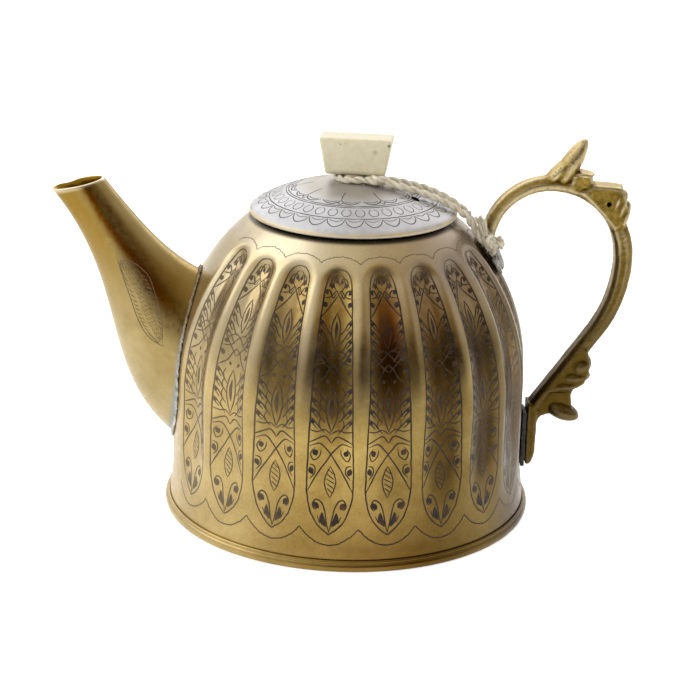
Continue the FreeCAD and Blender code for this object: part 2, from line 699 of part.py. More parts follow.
def build():
    outside, body_shell = make_body_shell()
    plain_body = body_block(0, BASE_SHEET, MOUTH_RADIUS)
    lid = make_lid()

    def lug_top(angle):
        return lug_gap(angle) + LUG_THICKNESS

    handle_lug = make_lug(lug_gap, lug_top)
    under_bow = make_lug(lambda angle: -BOW_ROOT_LENGTH, lug_top)
    handle = make_handle(under_bow)
    knot = ball(NECK_KNOT, KNOT_RADIUS, KNOT_HALF_HEIGHT)
    hitch_knot = ball(HITCH_KNOT, HITCH_KNOT_RADIUS, HITCH_KNOT_RADIUS)
    front = cord(FRONT_STRAND, TWINE_RADIUS).cut(knot).cut(hitch_knot)
    back = cord(BACK_STRAND, TWINE_RADIUS).cut(knot).cut(hitch_knot).cut(front).cut(handle_lug)
    tail = cord(TAIL, TWINE_RADIUS).cut(hitch_knot).cut(front).cut(back)
    hitch = make_tether_hitch(hitch_knot).cut(outside).cut(handle).cut(handle_lug).cut(front).cut(back)
    far = 2 * WALL_RADIUS
    lid_side = BEND_START - TWINE_SLIT
    drop_side = BEND_END + TWINE_SLIT
    strands = [front, back]
    return {
        "body_shell": body_shell,
        "base_plate": make_base_plate(),
        "foot_ring": make_foot_ring(),
        "mouth_ring": make_mouth_ring(),
        "spout": make_spout(plain_body),
        "spout_solder": make_spout_solder(plain_body),
        "handle": handle,
        "handle_lug": handle_lug,
        "lug_solder": make_lug_solder(outside).cut(handle_lug),
        "foot_solder": make_foot_solder(outside),
        "lid": lid,
        "lid_collar": make_lid_collar(lid),
        "knob": make_knob(),
        "knob_pin": make_knob_pin(),
        "knob_washer": make_knob_washer(),
        "tether_loop": make_tether_loop(knot),
        "tether_knot": knot,
        "tether_front_strand": between(front, 0, lid_side),
        "tether_back_strand": between(back, 0, lid_side),
        "tether_bend": Part.makeCompound([between(strand, BEND_START, BEND_END) for strand in strands]),
        "tether_drop": Part.makeCompound([between(strand, drop_side, far) for strand in strands]),
        "tether_hitch": hitch,
        "tether_hitch_knot": hitch_knot,
        "tether_tail": tail,
    }


os.makedirs("parts", exist_ok=True)
for node, shape in build().items():
    print(node, len(shape.Solids), "solids", round(shape.Volume, 1), "mm3 valid", shape.isValid())
    shape.exportStep(os.path.join("parts", node + ".step"))
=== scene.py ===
import math
import random

import bmesh
import bpy
from mathutils import Matrix, Vector


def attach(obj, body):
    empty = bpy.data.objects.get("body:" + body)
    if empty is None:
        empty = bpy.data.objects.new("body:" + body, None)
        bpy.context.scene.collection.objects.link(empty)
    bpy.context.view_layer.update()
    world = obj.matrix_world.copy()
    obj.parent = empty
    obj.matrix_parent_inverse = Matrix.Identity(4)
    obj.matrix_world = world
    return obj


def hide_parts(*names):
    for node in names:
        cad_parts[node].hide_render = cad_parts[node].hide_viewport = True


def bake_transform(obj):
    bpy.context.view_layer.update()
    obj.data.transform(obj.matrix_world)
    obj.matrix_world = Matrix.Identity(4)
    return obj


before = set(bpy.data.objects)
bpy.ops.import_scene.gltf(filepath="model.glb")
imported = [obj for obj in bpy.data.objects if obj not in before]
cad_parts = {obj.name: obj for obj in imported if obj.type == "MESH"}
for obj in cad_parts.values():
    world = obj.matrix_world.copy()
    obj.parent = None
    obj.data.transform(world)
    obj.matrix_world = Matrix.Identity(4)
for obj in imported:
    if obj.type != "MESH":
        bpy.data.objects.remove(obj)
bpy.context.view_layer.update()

# Table and light. A pale table top under soft studio lamps: a broad lamp at the upper left, weaker ones
# on the right and behind, and a room round them for the brass to mirror.
MM = 0.001
scene = bpy.context.scene
scene.view_settings.view_transform = "Standard"


def linear(hex_colour):
    """Linear colour, with alpha, of an sRGB hex value."""
    channels = [int(hex_colour[i:i + 2], 16) / 255 for i in (1, 3, 5)]
    return [c / 12.92 if c <= 0.04045 else ((c + 0.055) / 1.055) ** 2.4 for c in channels] + [1.0]


def fill(tree, node, values):
    """Sets inputs, by number or name, each to a value, a hex colour, a node, an output or a list of them."""
    live = [socket for socket in node.inputs if socket.enabled]
    for key, value in values.items():
        socket = live[key] if isinstance(key, int) else next(s for s in live if s.name.lower() == key)
        for source in value if isinstance(value, list) else [value]:
            if isinstance(source, bpy.types.Node):
                source = next(s for s in source.outputs if s.enabled)
            if isinstance(source, bpy.types.NodeSocket):
                tree.links.new(source, socket)
            else:
                is_colour = isinstance(source, str) and source.startswith("#")
                socket.default_value = linear(source) if is_colour else source


def add(tree, kind, *values, ramp=(), **named):
    """One node, its kind with its mode after a dot. Inputs come in order or by name, other names are settings."""
    kind, _, mode = kind.partition(".")
    names = [prefix + kind for prefix in (tree.bl_idname[:-4], "ShaderNode", "FunctionNode", "Node")]
    node = tree.nodes.new(next(name for name in names if hasattr(bpy.types, name)))
    if mode:
        setattr(node, "operation" if hasattr(node, "operation") else "data_type", mode)
    inputs = dict(enumerate(values))
    for name, value in named.items():
        label = name.replace("_", " ")
        if any(socket.name.lower() == label for socket in node.inputs):
            inputs[label] = value
        else:
            setattr(node, name, value)
    for index, (place, colour) in enumerate(ramp):
        node.color_ramp.elements[index].position = place
        node.color_ramp.elements[index].color = linear(colour)
    fill(tree, node, inputs)
    return node


def new_material(name):
    """Empty material with its tree, its shader and its object coordinates in millimetres."""
    material = bpy.data.materials.new(name)
    material.use_nodes = True
    tree = material.node_tree
    shader = tree.nodes["Principled BSDF"]
    place = add(tree, "TexCoord").outputs["Object"]
    millimetres = add(tree, "VectorMath.SCALE", place, 1 / MM)
    return material, tree, shader, millimetres


def new_object(name, mesh):
    piece = bpy.data.objects.new(name, mesh)
    scene.collection.objects.link(piece)
    return piece


FLOOR_SIZE = 6.0
FLOOR_GLOW = 0.55
floor_mesh = bpy.data.meshes.new("table_top")
half = FLOOR_SIZE / 2
floor_mesh.from_pydata([(-half, -half, 0), (half, -half, 0), (half, half, 0), (-half, half, 0)], [], [(0, 1, 2, 3)])
table_top = new_object("table_top", floor_mesh)
table_white, tree, shader, millimetres = new_material("table_white")
ray = add(tree, "LightPath")
seen = ray.outputs["Is Camera Ray"]
for kind in ("Is Glossy Ray", "Is Transmission Ray"):
    seen = add(tree, "Math.MAXIMUM", seen, ray.outputs[kind])
glow = add(tree, "Math.MULTIPLY", seen, FLOOR_GLOW)
fill(tree, shader, {
    "base color": "#F4F3F1", "roughness": 0.8, "emission color": "#FFFFFF", "emission strength": glow,
})
floor_mesh.materials.append(table_white)

# Pale room: white towards a skylight at the upper left and behind, brown towards the front, with a dark doorway there
ROOM_STRENGTH = 0.52
ROOM_PLACES = {"skylight": (-0.60, 0.05, 0.80), "doorway": (0.10, -0.99, 0.08), "wall": (0.88, 0.12, 0.46)}


def layered(tree, tone, measures, layers, interpolation="LINEAR"):
    """Lays colours over a tone. After its colour, each layer has the parts of its share, of which the largest
    counts. A part is a product of ranges: a measure with its start, its end and the shares there, or as it is."""
    for colour, *parts in layers:
        share = None
        for ranges in parts:
            part = None
            for measure, *ends in ranges:
                value = measures[measure]
                if ends:
                    value = add(tree, "MapRange", value, *ends, interpolation_type=interpolation)
                part = add(tree, "Math.MULTIPLY", part, value) if part else value
            share = add(tree, "Math.MAXIMUM", share, part) if share else part
        tone = add(tree, "Mix.RGBA", share, tone, colour)
    return tone


world = bpy.data.worlds.new("pale_room")
scene.world = world
world.use_nodes = True
tree = world.node_tree
direction = add(tree, "TexCoord").outputs["Generated"]
measures = dict(add(tree, "SeparateXYZ", direction).outputs.items())
for name, place in ROOM_PLACES.items():
    measures[name] = add(tree, "VectorMath.DOT_PRODUCT", direction, place)
room = layered(tree, "#402604", measures, (
    ("#7E5A16", [("skylight", -0.30, -0.02, 0.0, 1.0)]),
    ("#B0924E", [("skylight", -0.05, 0.26, 0.0, 1.0)]),
    ("#DAD1BC", [("skylight", 0.20, 0.50, 0.0, 1.0)]),
    ("#FFFDFA", [("skylight", 0.45, 0.80, 0.0, 1.0)]),
    ("#1A0E04", [("doorway", 0.80, 0.96, 0.0, 0.85)]),
    ("#FFFDFA", [("wall", 0.60, 0.97, 0.0, 0.65)]),
    ("#FFFDFA", [("X", -0.60, -0.95, 0.0, 0.4)]),
    ("#FFFDFA", [("Y", 0.05, 0.60, 0.0, 0.85)]),
), "SMOOTHSTEP")
ray = add(tree, "LightPath")
direct = add(tree, "Math.MAXIMUM", ray.outputs["Is Camera Ray"], ray.outputs["Is Glossy Ray"])
direct = add(tree, "Math.MAXIMUM", direct, ray.outputs["Is Transmission Ray"])
strength = add(tree, "MapRange", direct, 0.0, 1.0, ROOM_STRENGTH, 1.0)
seen = add(tree, "Mix.RGBA", direct, "#FFFDFA", room)
fill(tree, tree.nodes["Background"], {"color": seen, "strength": strength})


def soft_lamp(name, place, target, width, height, power, mirrored=True, lighting=True):
    """Rectangular lamp that faces a target. Shiny metal may mirror it, and it may light the rest."""
    lamp = bpy.data.lights.new(name, "AREA")
    lamp.shape = "RECTANGLE"
    lamp.size = width
    lamp.size_y = height
    lamp.energy = power
    holder = new_object(name, lamp)
    holder.visible_glossy = mirrored
    holder.visible_diffuse = lighting
    holder.location = place
    holder.rotation_euler = (Vector(target) - Vector(place)).to_track_quat("-Z", "Y").to_euler()


soft_lamp("window_lamp", (-0.85, -0.38, 0.62), (0, 0, 0.05), 1.35, 1.20, 8.5, mirrored=False)
soft_lamp("side_lamp", (0.60, 0.10, 0.40), (0, 0, 0.05), 0.50, 0.50, 1.6, mirrored=False)
soft_lamp("skylight_lamp", (-0.66, 0.14, 0.70), (0, 0, 0.06), 0.75, 0.75, 2.4, lighting=False)
soft_lamp("back_strip", (0.05, 0.55, 0.45), (0, 0, 0.06), 0.90, 0.35, 1.8)

# Camera at the photograph's place: a little above the pot, its spout side a touch nearer.
CAMERA_TARGET = Vector((0.08, 0, 46.03)) * MM
CAMERA_DISTANCE = 0.550
CAMERA_AZIMUTH = math.radians(-3.0)
CAMERA_ELEVATION = math.radians(19.13)
CAMERA_ROLL = math.radians(1.51)
CAMERA_ANGLE = math.radians(21.14)
outward = Vector((
    math.sin(CAMERA_AZIMUTH) * math.cos(CAMERA_ELEVATION),
    -math.cos(CAMERA_AZIMUTH) * math.cos(CAMERA_ELEVATION),
    math.sin(CAMERA_ELEVATION),
))
camera_data = bpy.data.cameras.new("camera")
camera_data.angle = CAMERA_ANGLE
camera_data.clip_start = 0.01
camera = new_object("camera", camera_data)
level = outward.to_track_quat("Z", "Y").to_matrix().to_4x4()
stand = Matrix.Translation(CAMERA_TARGET + outward * CAMERA_DISTANCE)
camera.matrix_world = stand @ level @ Matrix.Rotation(CAMERA_ROLL, 4, "Z")
scene.camera = camera

# Body. A bell raised from brass sheet one millimetre thick, open at the mouth, with hollow flutes pressed
# into it side by side, none under the spout. It is pale on the ridges, partly wear and partly painted highlight,
# and brown below, partly patina and partly painted dark reflection.
WALL_RADIUS = 51.6
FLARE_BOTTOM = 4.0
FLARE_TOP = 14.0
FLARE_ARC = 50.5
SHOULDER_BASE = 40.0
SHOULDER_ARC = 60.5
SHOULDER_CENTRE = WALL_RADIUS - SHOULDER_ARC
MOUTH_RADIUS = 26.5
SHEET = 1.0
BODY_BOTTOM = 1.2
BODY_SEGMENTS = 560
FLUTE_STEP = 18.0
FLUTE_DEPTH = 2.0
FLUTE_TURN = 1.0
FLUTE_LOW_HALF = 7.45
FLUTE_HIGH_HALF = 5.55
FLUTE_LOW = 20.0
FLUTE_HIGH = 80.0
FLUTE_ARCH = 78.0
ARCH_DEGREES_PER_MM = 1.93
FLUTE_FLAT = 0.25
FLUTE_RISE = (7.0, 34.0)
FLUTE_UNEVEN = (0.88, 1.08)
FLUTES_STOP = 162.0


def wall_radius(height, inset=0.0):
    """Radius of the plain body at this height, moved inwards by inset."""
    if height >= SHOULDER_BASE:
        return SHOULDER_CENTRE + math.sqrt((SHOULDER_ARC - inset) ** 2 - (height - SHOULDER_BASE) ** 2)
    drop = min(max(FLARE_TOP - height, 0.0), FLARE_TOP - FLARE_BOTTOM)
    return WALL_RADIUS - inset + FLARE_ARC - math.sqrt(FLARE_ARC ** 2 - drop ** 2)


def profile_object(name, points):
    """Half profile of a turned piece: its radius and height in millimetres, point by point."""
    mesh = bpy.data.meshes.new(name)
    mesh.from_pydata([(r * MM, 0, z * MM) for r, z in points], [(i, i + 1) for i in range(len(points) - 1)], [])
    return new_object(name, mesh)


def shoulder_points(inset, count):
    """Points up the shoulder from the wall to the mouth."""
    arc = SHOULDER_ARC - inset
    last = math.acos((MOUTH_RADIUS - SHOULDER_CENTRE) / arc)
    turns = [last * index / count for index in range(count + 1)]
    return [(SHOULDER_CENTRE + arc * math.cos(t), SHOULDER_BASE + arc * math.sin(t)) for t in turns]


def steps(start, end, count):
    return [start + (end - start) * index / count for index in range(count + 1)]


wall_heights = steps(BODY_BOTTOM, FLARE_TOP, 8) + steps(FLARE_TOP, SHOULDER_BASE, 20)[1:-1]
inner_heights = steps(BODY_BOTTOM, FLARE_TOP, 4) + steps(FLARE_TOP, SHOULDER_BASE, 12)[1:-1]
body_profile = [(wall_radius(z), z) for z in wall_heights] + shoulder_points(0, 62)
body_profile += reversed([(wall_radius(z, SHEET), z) for z in inner_heights] + shoulder_points(SHEET, 34))
body_profile.append(body_profile[0])


def new_nodes(name, inputs):
    """Geometry tree with these named inputs and one geometry output."""
    tree = bpy.data.node_groups.new(name, "GeometryNodeTree")
    for label, kind in inputs.items():
        tree.interface.new_socket(label, in_out="INPUT", socket_type="NodeSocket" + kind)
    tree.interface.new_socket("Geometry", in_out="OUTPUT", socket_type="NodeSocketGeometry")
    return tree, add(tree, "GroupInput").outputs


def finished(tree, geometry, given):
    """Ends a tree: plain geometry, smooth, in the material that is given."""
    smooth = add(tree, "SetShadeSmooth", add(tree, "RealizeInstances", geometry))
    add(tree, "GroupOutput", add(tree, "SetMaterial", smooth, material=given["Material"]))
    return tree


def plain(piece):
    """Mesh of a piece with its modifiers applied."""
    graph = bpy.context.evaluated_depsgraph_get()
    return bpy.data.meshes.new_from_object(piece.evaluated_get(graph), depsgraph=graph)


def grown(name, tree, values, start=None):
    """Object whose plain mesh this tree makes from these inputs."""
    piece = new_object(name, start or bpy.data.meshes.new(name))
    modifier = piece.modifiers.new("nodes", "NODES")
    modifier.node_group = tree
    for socket in tree.interface.items_tree:
        if socket.in_out == "INPUT" and socket.name in values:
            modifier[socket.identifier] = values[socket.name]
    piece.data = plain(piece)
    piece.modifiers.remove(modifier)
    piece.data.name = name
    return piece


tree, given = new_nodes("turned_piece", {
    "Profile": "Object", "Segments": "Int", "Rows": "Int", "Material": "Material",
})
columns = add(tree, "Math.ADD", given["Segments"], 1.0)
sheet = add(tree, "MeshGrid", 1.0, 1.0, columns, given["Rows"])
flat = add(tree, "SeparateXYZ", add(tree, "InputPosition")).outputs
turn = add(tree, "Math.MULTIPLY", flat["X"], math.tau)
last_row = add(tree, "Math.SUBTRACT", given["Rows"], 1.0)
row = add(tree, "Math.MULTIPLY", add(tree, "Math.ADD", flat["Y"], 0.5), last_row)
outline = add(tree, "ObjectInfo", given["Profile"]).outputs["Geometry"]
profile_point = add(
    tree, "SampleIndex.FLOAT_VECTOR", outline, add(tree, "InputPosition"), add(tree, "Math.ROUND", row),
)
spun = add(tree, "VectorRotate", vector=profile_point, angle=turn, rotation_type="Z_AXIS")
wrapped = add(tree, "SetPosition", geometry=sheet, position=spun)
closed = add(tree, "MergeByDistance", geometry=wrapped, distance=0.002 * MM)
turned_nodes = finished(tree, closed, given)


def turned_piece(name, points, segments, material):
    """Piece spun about the pot's axis from its half profile, which runs up the outside."""
    profile = profile_object(name + "_profile", points)
    piece = grown(name, turned_nodes, {
        "Profile": profile, "Segments": segments, "Rows": len(points), "Material": material,
    })
    bpy.data.objects.remove(profile)
    return piece


tree, given = new_nodes("pressed_flutes", {
    "Wall": "Geometry", "Step": "Float", "Turn": "Float", "Depth": "Float", "Low Half": "Float",
    "High Half": "Float", "Low": "Float", "High": "Float", "Arch": "Float", "Arch Rate": "Float", "Seed": "Int",
    "Material": "Material",
})
millimetres = add(tree, "VectorMath.SCALE", add(tree, "InputPosition"), 1 / MM)
point = add(tree, "SeparateXYZ", millimetres).outputs
height = point["Z"]
bearing = add(tree, "Math.DEGREES", add(tree, "Math.ARCTAN2", point["Y"], point["X"]))
bearing = add(tree, "Math.SUBTRACT", bearing, given["Turn"])
count = add(tree, "Math.DIVIDE", bearing, given["Step"])
number = add(tree, "Math.FLOOR", count)
# How far a point is from the middle of its flute, in degrees, and how deep the flute is there
centred = add(tree, "Math.SUBTRACT", add(tree, "Math.FRACT", count), 0.5)
aside = add(tree, "Math.MULTIPLY", centred, given["Step"])
half_width = add(
    tree, "MapRange", height, given["Low"], given["High"], given["Low Half"], given["High Half"],
)
above = add(tree, "Math.MAXIMUM", add(tree, "Math.SUBTRACT", height, given["Arch"]), 0.0)
up_arch = add(tree, "Math.MULTIPLY", above, given["Arch Rate"])
from_middle = add(tree, "VectorMath.LENGTH", add(tree, "CombineXYZ", aside, up_arch))
flat_half = add(tree, "Math.MULTIPLY", half_width, FLUTE_FLAT)
crest = add(tree, "Math.MULTIPLY", given["Step"], 0.5)
share = add(tree, "MapRange", from_middle, flat_half, crest, 1.0, 0.0, interpolation_type="SMOOTHSTEP")
for factor in (
    add(tree, "MapRange", height, *FLUTE_RISE, 0.0, 1.0, interpolation_type="SMOOTHSTEP"),
    add(tree, "Math.LESS_THAN", add(tree, "Math.ABSOLUTE", bearing), FLUTES_STOP),
    add(tree, "RandomValue", min=FLUTE_UNEVEN[0], max=FLUTE_UNEVEN[1], id=number, seed=given["Seed"]),
):
    share = add(tree, "Math.MULTIPLY", share, factor)
# The way out of the wall: level below, away from the shoulder's arc above
level_place = add(tree, "VectorMath.MULTIPLY", millimetres, (1, 1, 0))
from_centre = add(tree, "Math.ADD", add(tree, "VectorMath.LENGTH", level_place), -SHOULDER_CENTRE)
level_part = add(tree, "VectorMath.SCALE", add(tree, "VectorMath.NORMALIZE", level_place), from_centre)
lifted = add(tree, "Math.MAXIMUM", add(tree, "Math.SUBTRACT", height, SHOULDER_BASE), 0.0)
way = add(tree, "VectorMath.ADD", level_part, add(tree, "CombineXYZ", z=lifted))
inwards = add(tree, "Math.MULTIPLY", add(tree, "Math.MULTIPLY", share, given["Depth"]), -MM)
push = add(tree, "VectorMath.SCALE", add(tree, "VectorMath.NORMALIZE", way), inwards)
kept_share = add(tree, "StoreNamedAttribute", geometry=given["Wall"], name="recess", value=share)
pressed = add(tree, "SetPosition", geometry=kept_share, offset=push)
flute_nodes = finished(tree, pressed, given)

# Old brass sheet: hammered and polished by hand, so its shine is broken by low dents and fine scratches. It is
# rubbed a little pale on the ridges, brown with patina in the flutes and darker in two spots there. Over that
# lie painted light and shade: a painted highlight at the left, on the left ridges and on the shoulder by the lid,
# a painted grey reflection at the right, a painted dark reflection low on the front, in a belt half way up the
# front and on the right side below it, and a painted shadow ring under the lid.
worn_brass, tree, shader, millimetres = new_material("worn_brass")
BLOOM_SIZE = 14.0
STAIN_SIZE = 5.0
FINE_SIZE = 0.9
DENT_SIZE = 9.0
GRAIN_SIZE = 0.5
DARK_SPOTS = {"burn": ((31.5, -37.0, 58.0), 0.45), "upper burn": ((11.2, -44.0, 71.0), 0.32)}
bloom = add(tree, "TexNoise", millimetres, scale=1 / BLOOM_SIZE, detail=5.0, roughness=0.6)
stain = add(tree, "TexNoise", millimetres, scale=1 / STAIN_SIZE, detail=6.0, roughness=0.7)
fine = add(tree, "TexNoise", millimetres, scale=1 / FINE_SIZE, detail=5.0, roughness=0.75)
cloudy = add(tree, "Math.MULTIPLY_ADD", fine, 0.6, bloom)
tone = add(tree, "ValToRGB", cloudy, ramp=((0.60, "#9A8246"), (1.0, "#BBA263")))
recess = add(tree, "Attribute", attribute_name="recess").outputs["Fac"]
measures = dict(add(tree, "SeparateXYZ", millimetres).outputs.items())
measures["recess"] = recess
measures["stained recess"] = add(tree, "Math.MULTIPLY", recess, stain)
measures["hollow"] = add(tree, "MapRange", recess, 0.05, 0.7, 0.6, 1.0)
for name, (middle, flattening) in DARK_SPOTS.items():
    from_burn = add(tree, "VectorMath.SUBTRACT", millimetres, middle)
    flattened = add(tree, "VectorMath.MULTIPLY", from_burn, (1.0, 1.0, flattening))
    measures[name] = add(tree, "VectorMath.LENGTH", flattened)
tone = layered(tree, tone, measures, (
    # Painted highlight, pale: the left side, the shoulder at the upper left by the lid, and the ridges, most at the
    # left, where a little of it everywhere is wear
    ("#CFC4AE", [("X", -12.0, -46.0, 0.0, 0.8), ("Z", 45.0, 70.0, 0.25, 1.0)],
     [("Z", 76.0, 83.0, 0.0, 0.75), ("X", 6.0, -14.0, 0.0, 1.0)],
     [("recess", 0.45, 0.10, 0.0, 0.5), ("Z", 44.0, 60.0, 0.0, 1.0), ("X", 14.0, -8.0, 0.3, 1.0)]),
    # Painted grey reflection at the right, and a darker grey one at the far right
    ("#A2958A", [("X", 0.0, 26.0, 0.0, 0.85), ("Z", 60.0, 78.0, 0.0, 1.0)]),
    ("#6C5F50", [("X", 36.0, 48.0, 0.0, 0.9)]),
    # Brown patina in the flutes, less of it towards the left, where the painted highlight lies
    ("#6A4608", [("stained recess", 0.20, 0.60, 0.0, 0.75), ("Z", 30.0, 44.0, 0.4, 1.0),
                 ("Z", 68.0, 84.0, 1.0, 0.4), ("X", -10.0, -32.0, 1.0, 0.2)]),
    # Two dark brown spots in the flutes
    ("#2C1606", [("burn", 3.0, 9.0, 1.0, 0.0), ("recess",)]),
    ("#6A3606", [("upper burn", 3.0, 11.0, 1.0, 0.0), ("recess",)]),
    # Painted dark reflection, brown, low on the front near the foot, less of it at the left
    ("#6A4A18", [("Z", 5.0, 34.0, 0.78, 0.0), ("Y", -34.0, -49.0, 0.0, 1.0), ("X", -32.0, 6.0, 0.3, 1.0)]),
))
# Painted dark reflection: a belt half way up the front, and the right side below it, darkest in the flutes
tone = layered(tree, tone, measures, (
    ("#2E1C06", [("hollow",), ("Z", 34.0, 47.0, 0.0, 0.78), ("Z", 56.0, 70.0, 1.0, 0.0),
                 ("X", -38.0, -14.0, 0.0, 1.0), ("Y", -12.0, -30.0, 0.0, 1.0)]),
    ("#2E1C06", [("hollow",), ("X", 0.0, 30.0, 0.0, 0.92), ("Z", 50.0, 36.0, 0.0, 1.0),
                 ("Y", -6.0, -24.0, 0.0, 1.0)]),
), "SMOOTHSTEP")
# Painted shadow: a dark ring on the shoulder just under the lid's edge
tone = layered(tree, tone, measures, [("#1A120A", [("Z", 86.2, 86.8, 0.0, 0.85)])])
rough = add(tree, "MapRange", stain, 0.3, 0.75, 0.24, 0.42)
dents = add(tree, "TexNoise", millimetres, scale=1 / DENT_SIZE, detail=2.0)
grain = add(tree, "TexNoise", millimetres, scale=1 / GRAIN_SIZE, detail=3.0)
low_dents = add(tree, "Bump", height=dents, strength=0.35, distance=0.25 * MM)
surface = add(tree, "Bump", height=grain, strength=0.25, distance=0.03 * MM, normal=low_dents)
fill(tree, shader, {"base color": tone, "metallic": 1.0, "roughness": rough, "normal": surface})

body = turned_piece("body", body_profile, BODY_SEGMENTS, worn_brass)
pressed_body = grown("body", flute_nodes, {
    "Step": FLUTE_STEP, "Turn": FLUTE_TURN, "Depth": FLUTE_DEPTH, "Low Half": FLUTE_LOW_HALF,
    "High Half": FLUTE_HIGH_HALF, "Low": FLUTE_LOW, "High": FLUTE_HIGH, "Arch": FLUTE_ARCH,
    "Arch Rate": ARCH_DEGREES_PER_MM, "Seed": 7, "Material": worn_brass,
}, body.data)
bpy.data.objects.remove(body)
body = pressed_body
body.name = "body"
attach(body, "pot")
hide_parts("body_shell")

# Engraving on the body. Each flute has the same panel, cut by hand with a burin and blackened: sprigs and two
# long leaves between feathered leaves, and a pointed medallion below. Scalloped lines run above and below.
LINE_WIDTH = 0.42
LINE_WEIGHT = 0.85
LINE_RAISE = 0.05
EDGE_RAISE = 0.015
WRIGGLE_LENGTH = 1.1


def flute_half_angle(height):
    share = (min(max(height, FLUTE_LOW), FLUTE_HIGH) - FLUTE_LOW) / (FLUTE_HIGH - FLUTE_LOW)
    return FLUTE_LOW_HALF + (FLUTE_HIGH_HALF - FLUTE_LOW_HALF) * share


def up_wall(height):
    """Distance up the wall from the foot to this height."""
    if height < SHOULDER_BASE:
        return height
    return SHOULDER_BASE + SHOULDER_ARC * math.asin((height - SHOULDER_BASE) / SHOULDER_ARC)


def wall_height(distance):
    if distance < SHOULDER_BASE:
        return distance
    return SHOULDER_BASE + SHOULDER_ARC * math.sin((distance - SHOULDER_BASE) / SHOULDER_ARC)


def smooth_line(points, per_run):
    """Points of a smooth line through these points."""
    padded = [points[0] * 2 - points[1], *points, points[-1] * 2 - points[-2]]
    line = []
    for a, b, c, d in zip(padded, padded[1:], padded[2:], padded[3:]):
        for index in range(per_run):
            t = index / per_run
            line.append(0.5 * (
                2 * b + (c - a) * t + (2 * a - 5 * b + 4 * c - d) * t ** 2 + (3 * b - a - 3 * c + d) * t ** 3
            ))
    line.append(points[-1])
    return line


def cut_line(drawing, points, width, taper, to_sheet, per_run=5, wriggle=0.0):
    """One burin line on a flat drawing: a low ridge whose width swells from its ends, or a leaf if it is wide."""
    line = smooth_line([Vector(p) for p in points], per_run)
    run = 0.0
    total = sum((b - a).length for a, b in zip(line, line[1:]))
    last_row = None
    for index, here in enumerate(line):
        before = line[max(index - 1, 0)]
        after = line[min(index + 1, len(line) - 1)]
        way = (after - before).normalized()
        side = Vector((-way.y, way.x))
        if index:
            run += (here - before).length
        share = run / total
        half = LINE_WEIGHT * width / 2 * min(1.0, taper + 4 * share * (1 - share))
        if width > 2 * LINE_WIDTH:
            half = max(0.04, width / 2 * math.sin(math.pi * share) ** 0.7)
        centre = here + side * wriggle * math.sin(run * math.tau / WRIGGLE_LENGTH)
        row = [
            drawing.verts.new((*to_sheet(centre + side * half * way_over), height * MM))
            for way_over, height in ((-1, EDGE_RAISE), (0, LINE_RAISE), (1, EDGE_RAISE))
        ]
        for left in (0, 1) if last_row else ():
            drawing.faces.new((last_row[left], row[left], row[left + 1], last_row[left + 1]))
        last_row = row


def drawn_mesh(name, shape):
    mesh = bpy.data.meshes.new(name)
    shape.to_mesh(mesh)
    return mesh


def panel_sheet(spot):
    """Angle in degrees and height in millimetres, both scaled to the sheet, of a spot of the flat panel."""
    height = wall_height(spot.y)
    return math.degrees(spot.x / wall_radius(height)) * MM, height * MM


def panel_spot(share, height):
    """Spot of the flat panel at this share of the flute's half width and at this height."""
    return share * math.radians(flute_half_angle(height)) * wall_radius(height), up_wall(height)


def engrave(points, width=LINE_WIDTH, taper=0.45, **how):
    cut_line(panel, [panel_spot(*p) for p in points], width, taper, panel_sheet, **how)


def engrave_both(points, width=LINE_WIDTH, **how):
    """The same line on both halves of the panel."""
    engrave(points, width, **how)
    engrave([(-share, height) for share, height in points], width, **how)


panel = bmesh.new()
# Border: an arch at the top, straight sides and a pointed foot
engrave_both([
    (0.0, 81.0), (0.42, 80.7), (0.78, 79.3), (0.94, 76.6), (0.97, 70.0), (0.97, 60.0), (0.97, 48.0), (0.98, 36.0),
    (0.98, 27.0), (0.94, 21.5), (0.74, 16.0), (0.4, 12.4), (0.0, 10.2),
], 0.5, taper=1.0, per_run=6, wriggle=0.03)
# Sprig under the arch
engrave_both([(0.0, 76.8), (0.25, 78.6), (0.55, 78.3), (0.72, 76.6)])
engrave_both([(0.05, 79.6), (0.3, 79.0), (0.42, 77.0), (0.2, 75.6)])
engrave_both([(0.84, 76.2), (0.6, 75.6), (0.36, 74.0), (0.16, 75.2)])
engrave_both([(0.55, 77.6), (0.5, 76.2)], 1.0)
engrave_both([(0.2, 78.4), (0.18, 77.2)], 0.9)
# Roof of two stems, with a black cell under each eave
engrave_both([(0.0, 74.8), (0.3, 73.2), (0.62, 71.4), (0.95, 69.8)], 0.5)
engrave_both([(0.0, 74.8), (0.2, 75.6), (0.5, 74.4), (0.92, 74.2)])
engrave_both([(0.9, 73.4), (0.72, 72.0)], 1.2)
engrave_both([(0.9, 76.2), (0.74, 74.9)], 0.9)
# Upper long leaf between feathered leaves
engrave_both([(0.0, 70.6), (0.2, 68.4), (0.26, 66.0), (0.16, 63.6), (0.0, 61.8)], 0.5)
engrave([(0.0, 68.6), (0.03, 66.4), (0.0, 64.2)], 0.9)
for low in (68.4, 66.2, 64.0, 61.8):
    engrave_both([(0.95, low + 1.0), (0.72, low - 0.2), (0.5, low - 1.9), (0.28, low - 3.1)])
    engrave_both([(0.95, low + 0.1), (0.8, low - 0.9), (0.62, low - 1.9)], 0.34)
    engrave_both([(0.93, low + 0.4), (0.8, low - 0.5)], 0.95)
# Crossed stems
engrave_both([(-0.95, 58.2), (-0.5, 58.4), (-0.1, 60.2), (0.3, 61.4), (0.7, 60.4)])
engrave_both([(0.92, 61.2), (0.6, 58.9), (0.3, 57.2), (0.0, 55.8)])
engrave_both([(0.9, 59.9), (0.66, 59.0)], 1.3)
engrave_both([(0.9, 57.2), (0.74, 55.4)], 1.1)
engrave_both([(0.0, 57.8), (0.24, 56.6), (0.5, 54.4), (0.94, 52.8)], 0.5)
engrave_both([(0.36, 54.0), (0.2, 53.0)], 0.9)
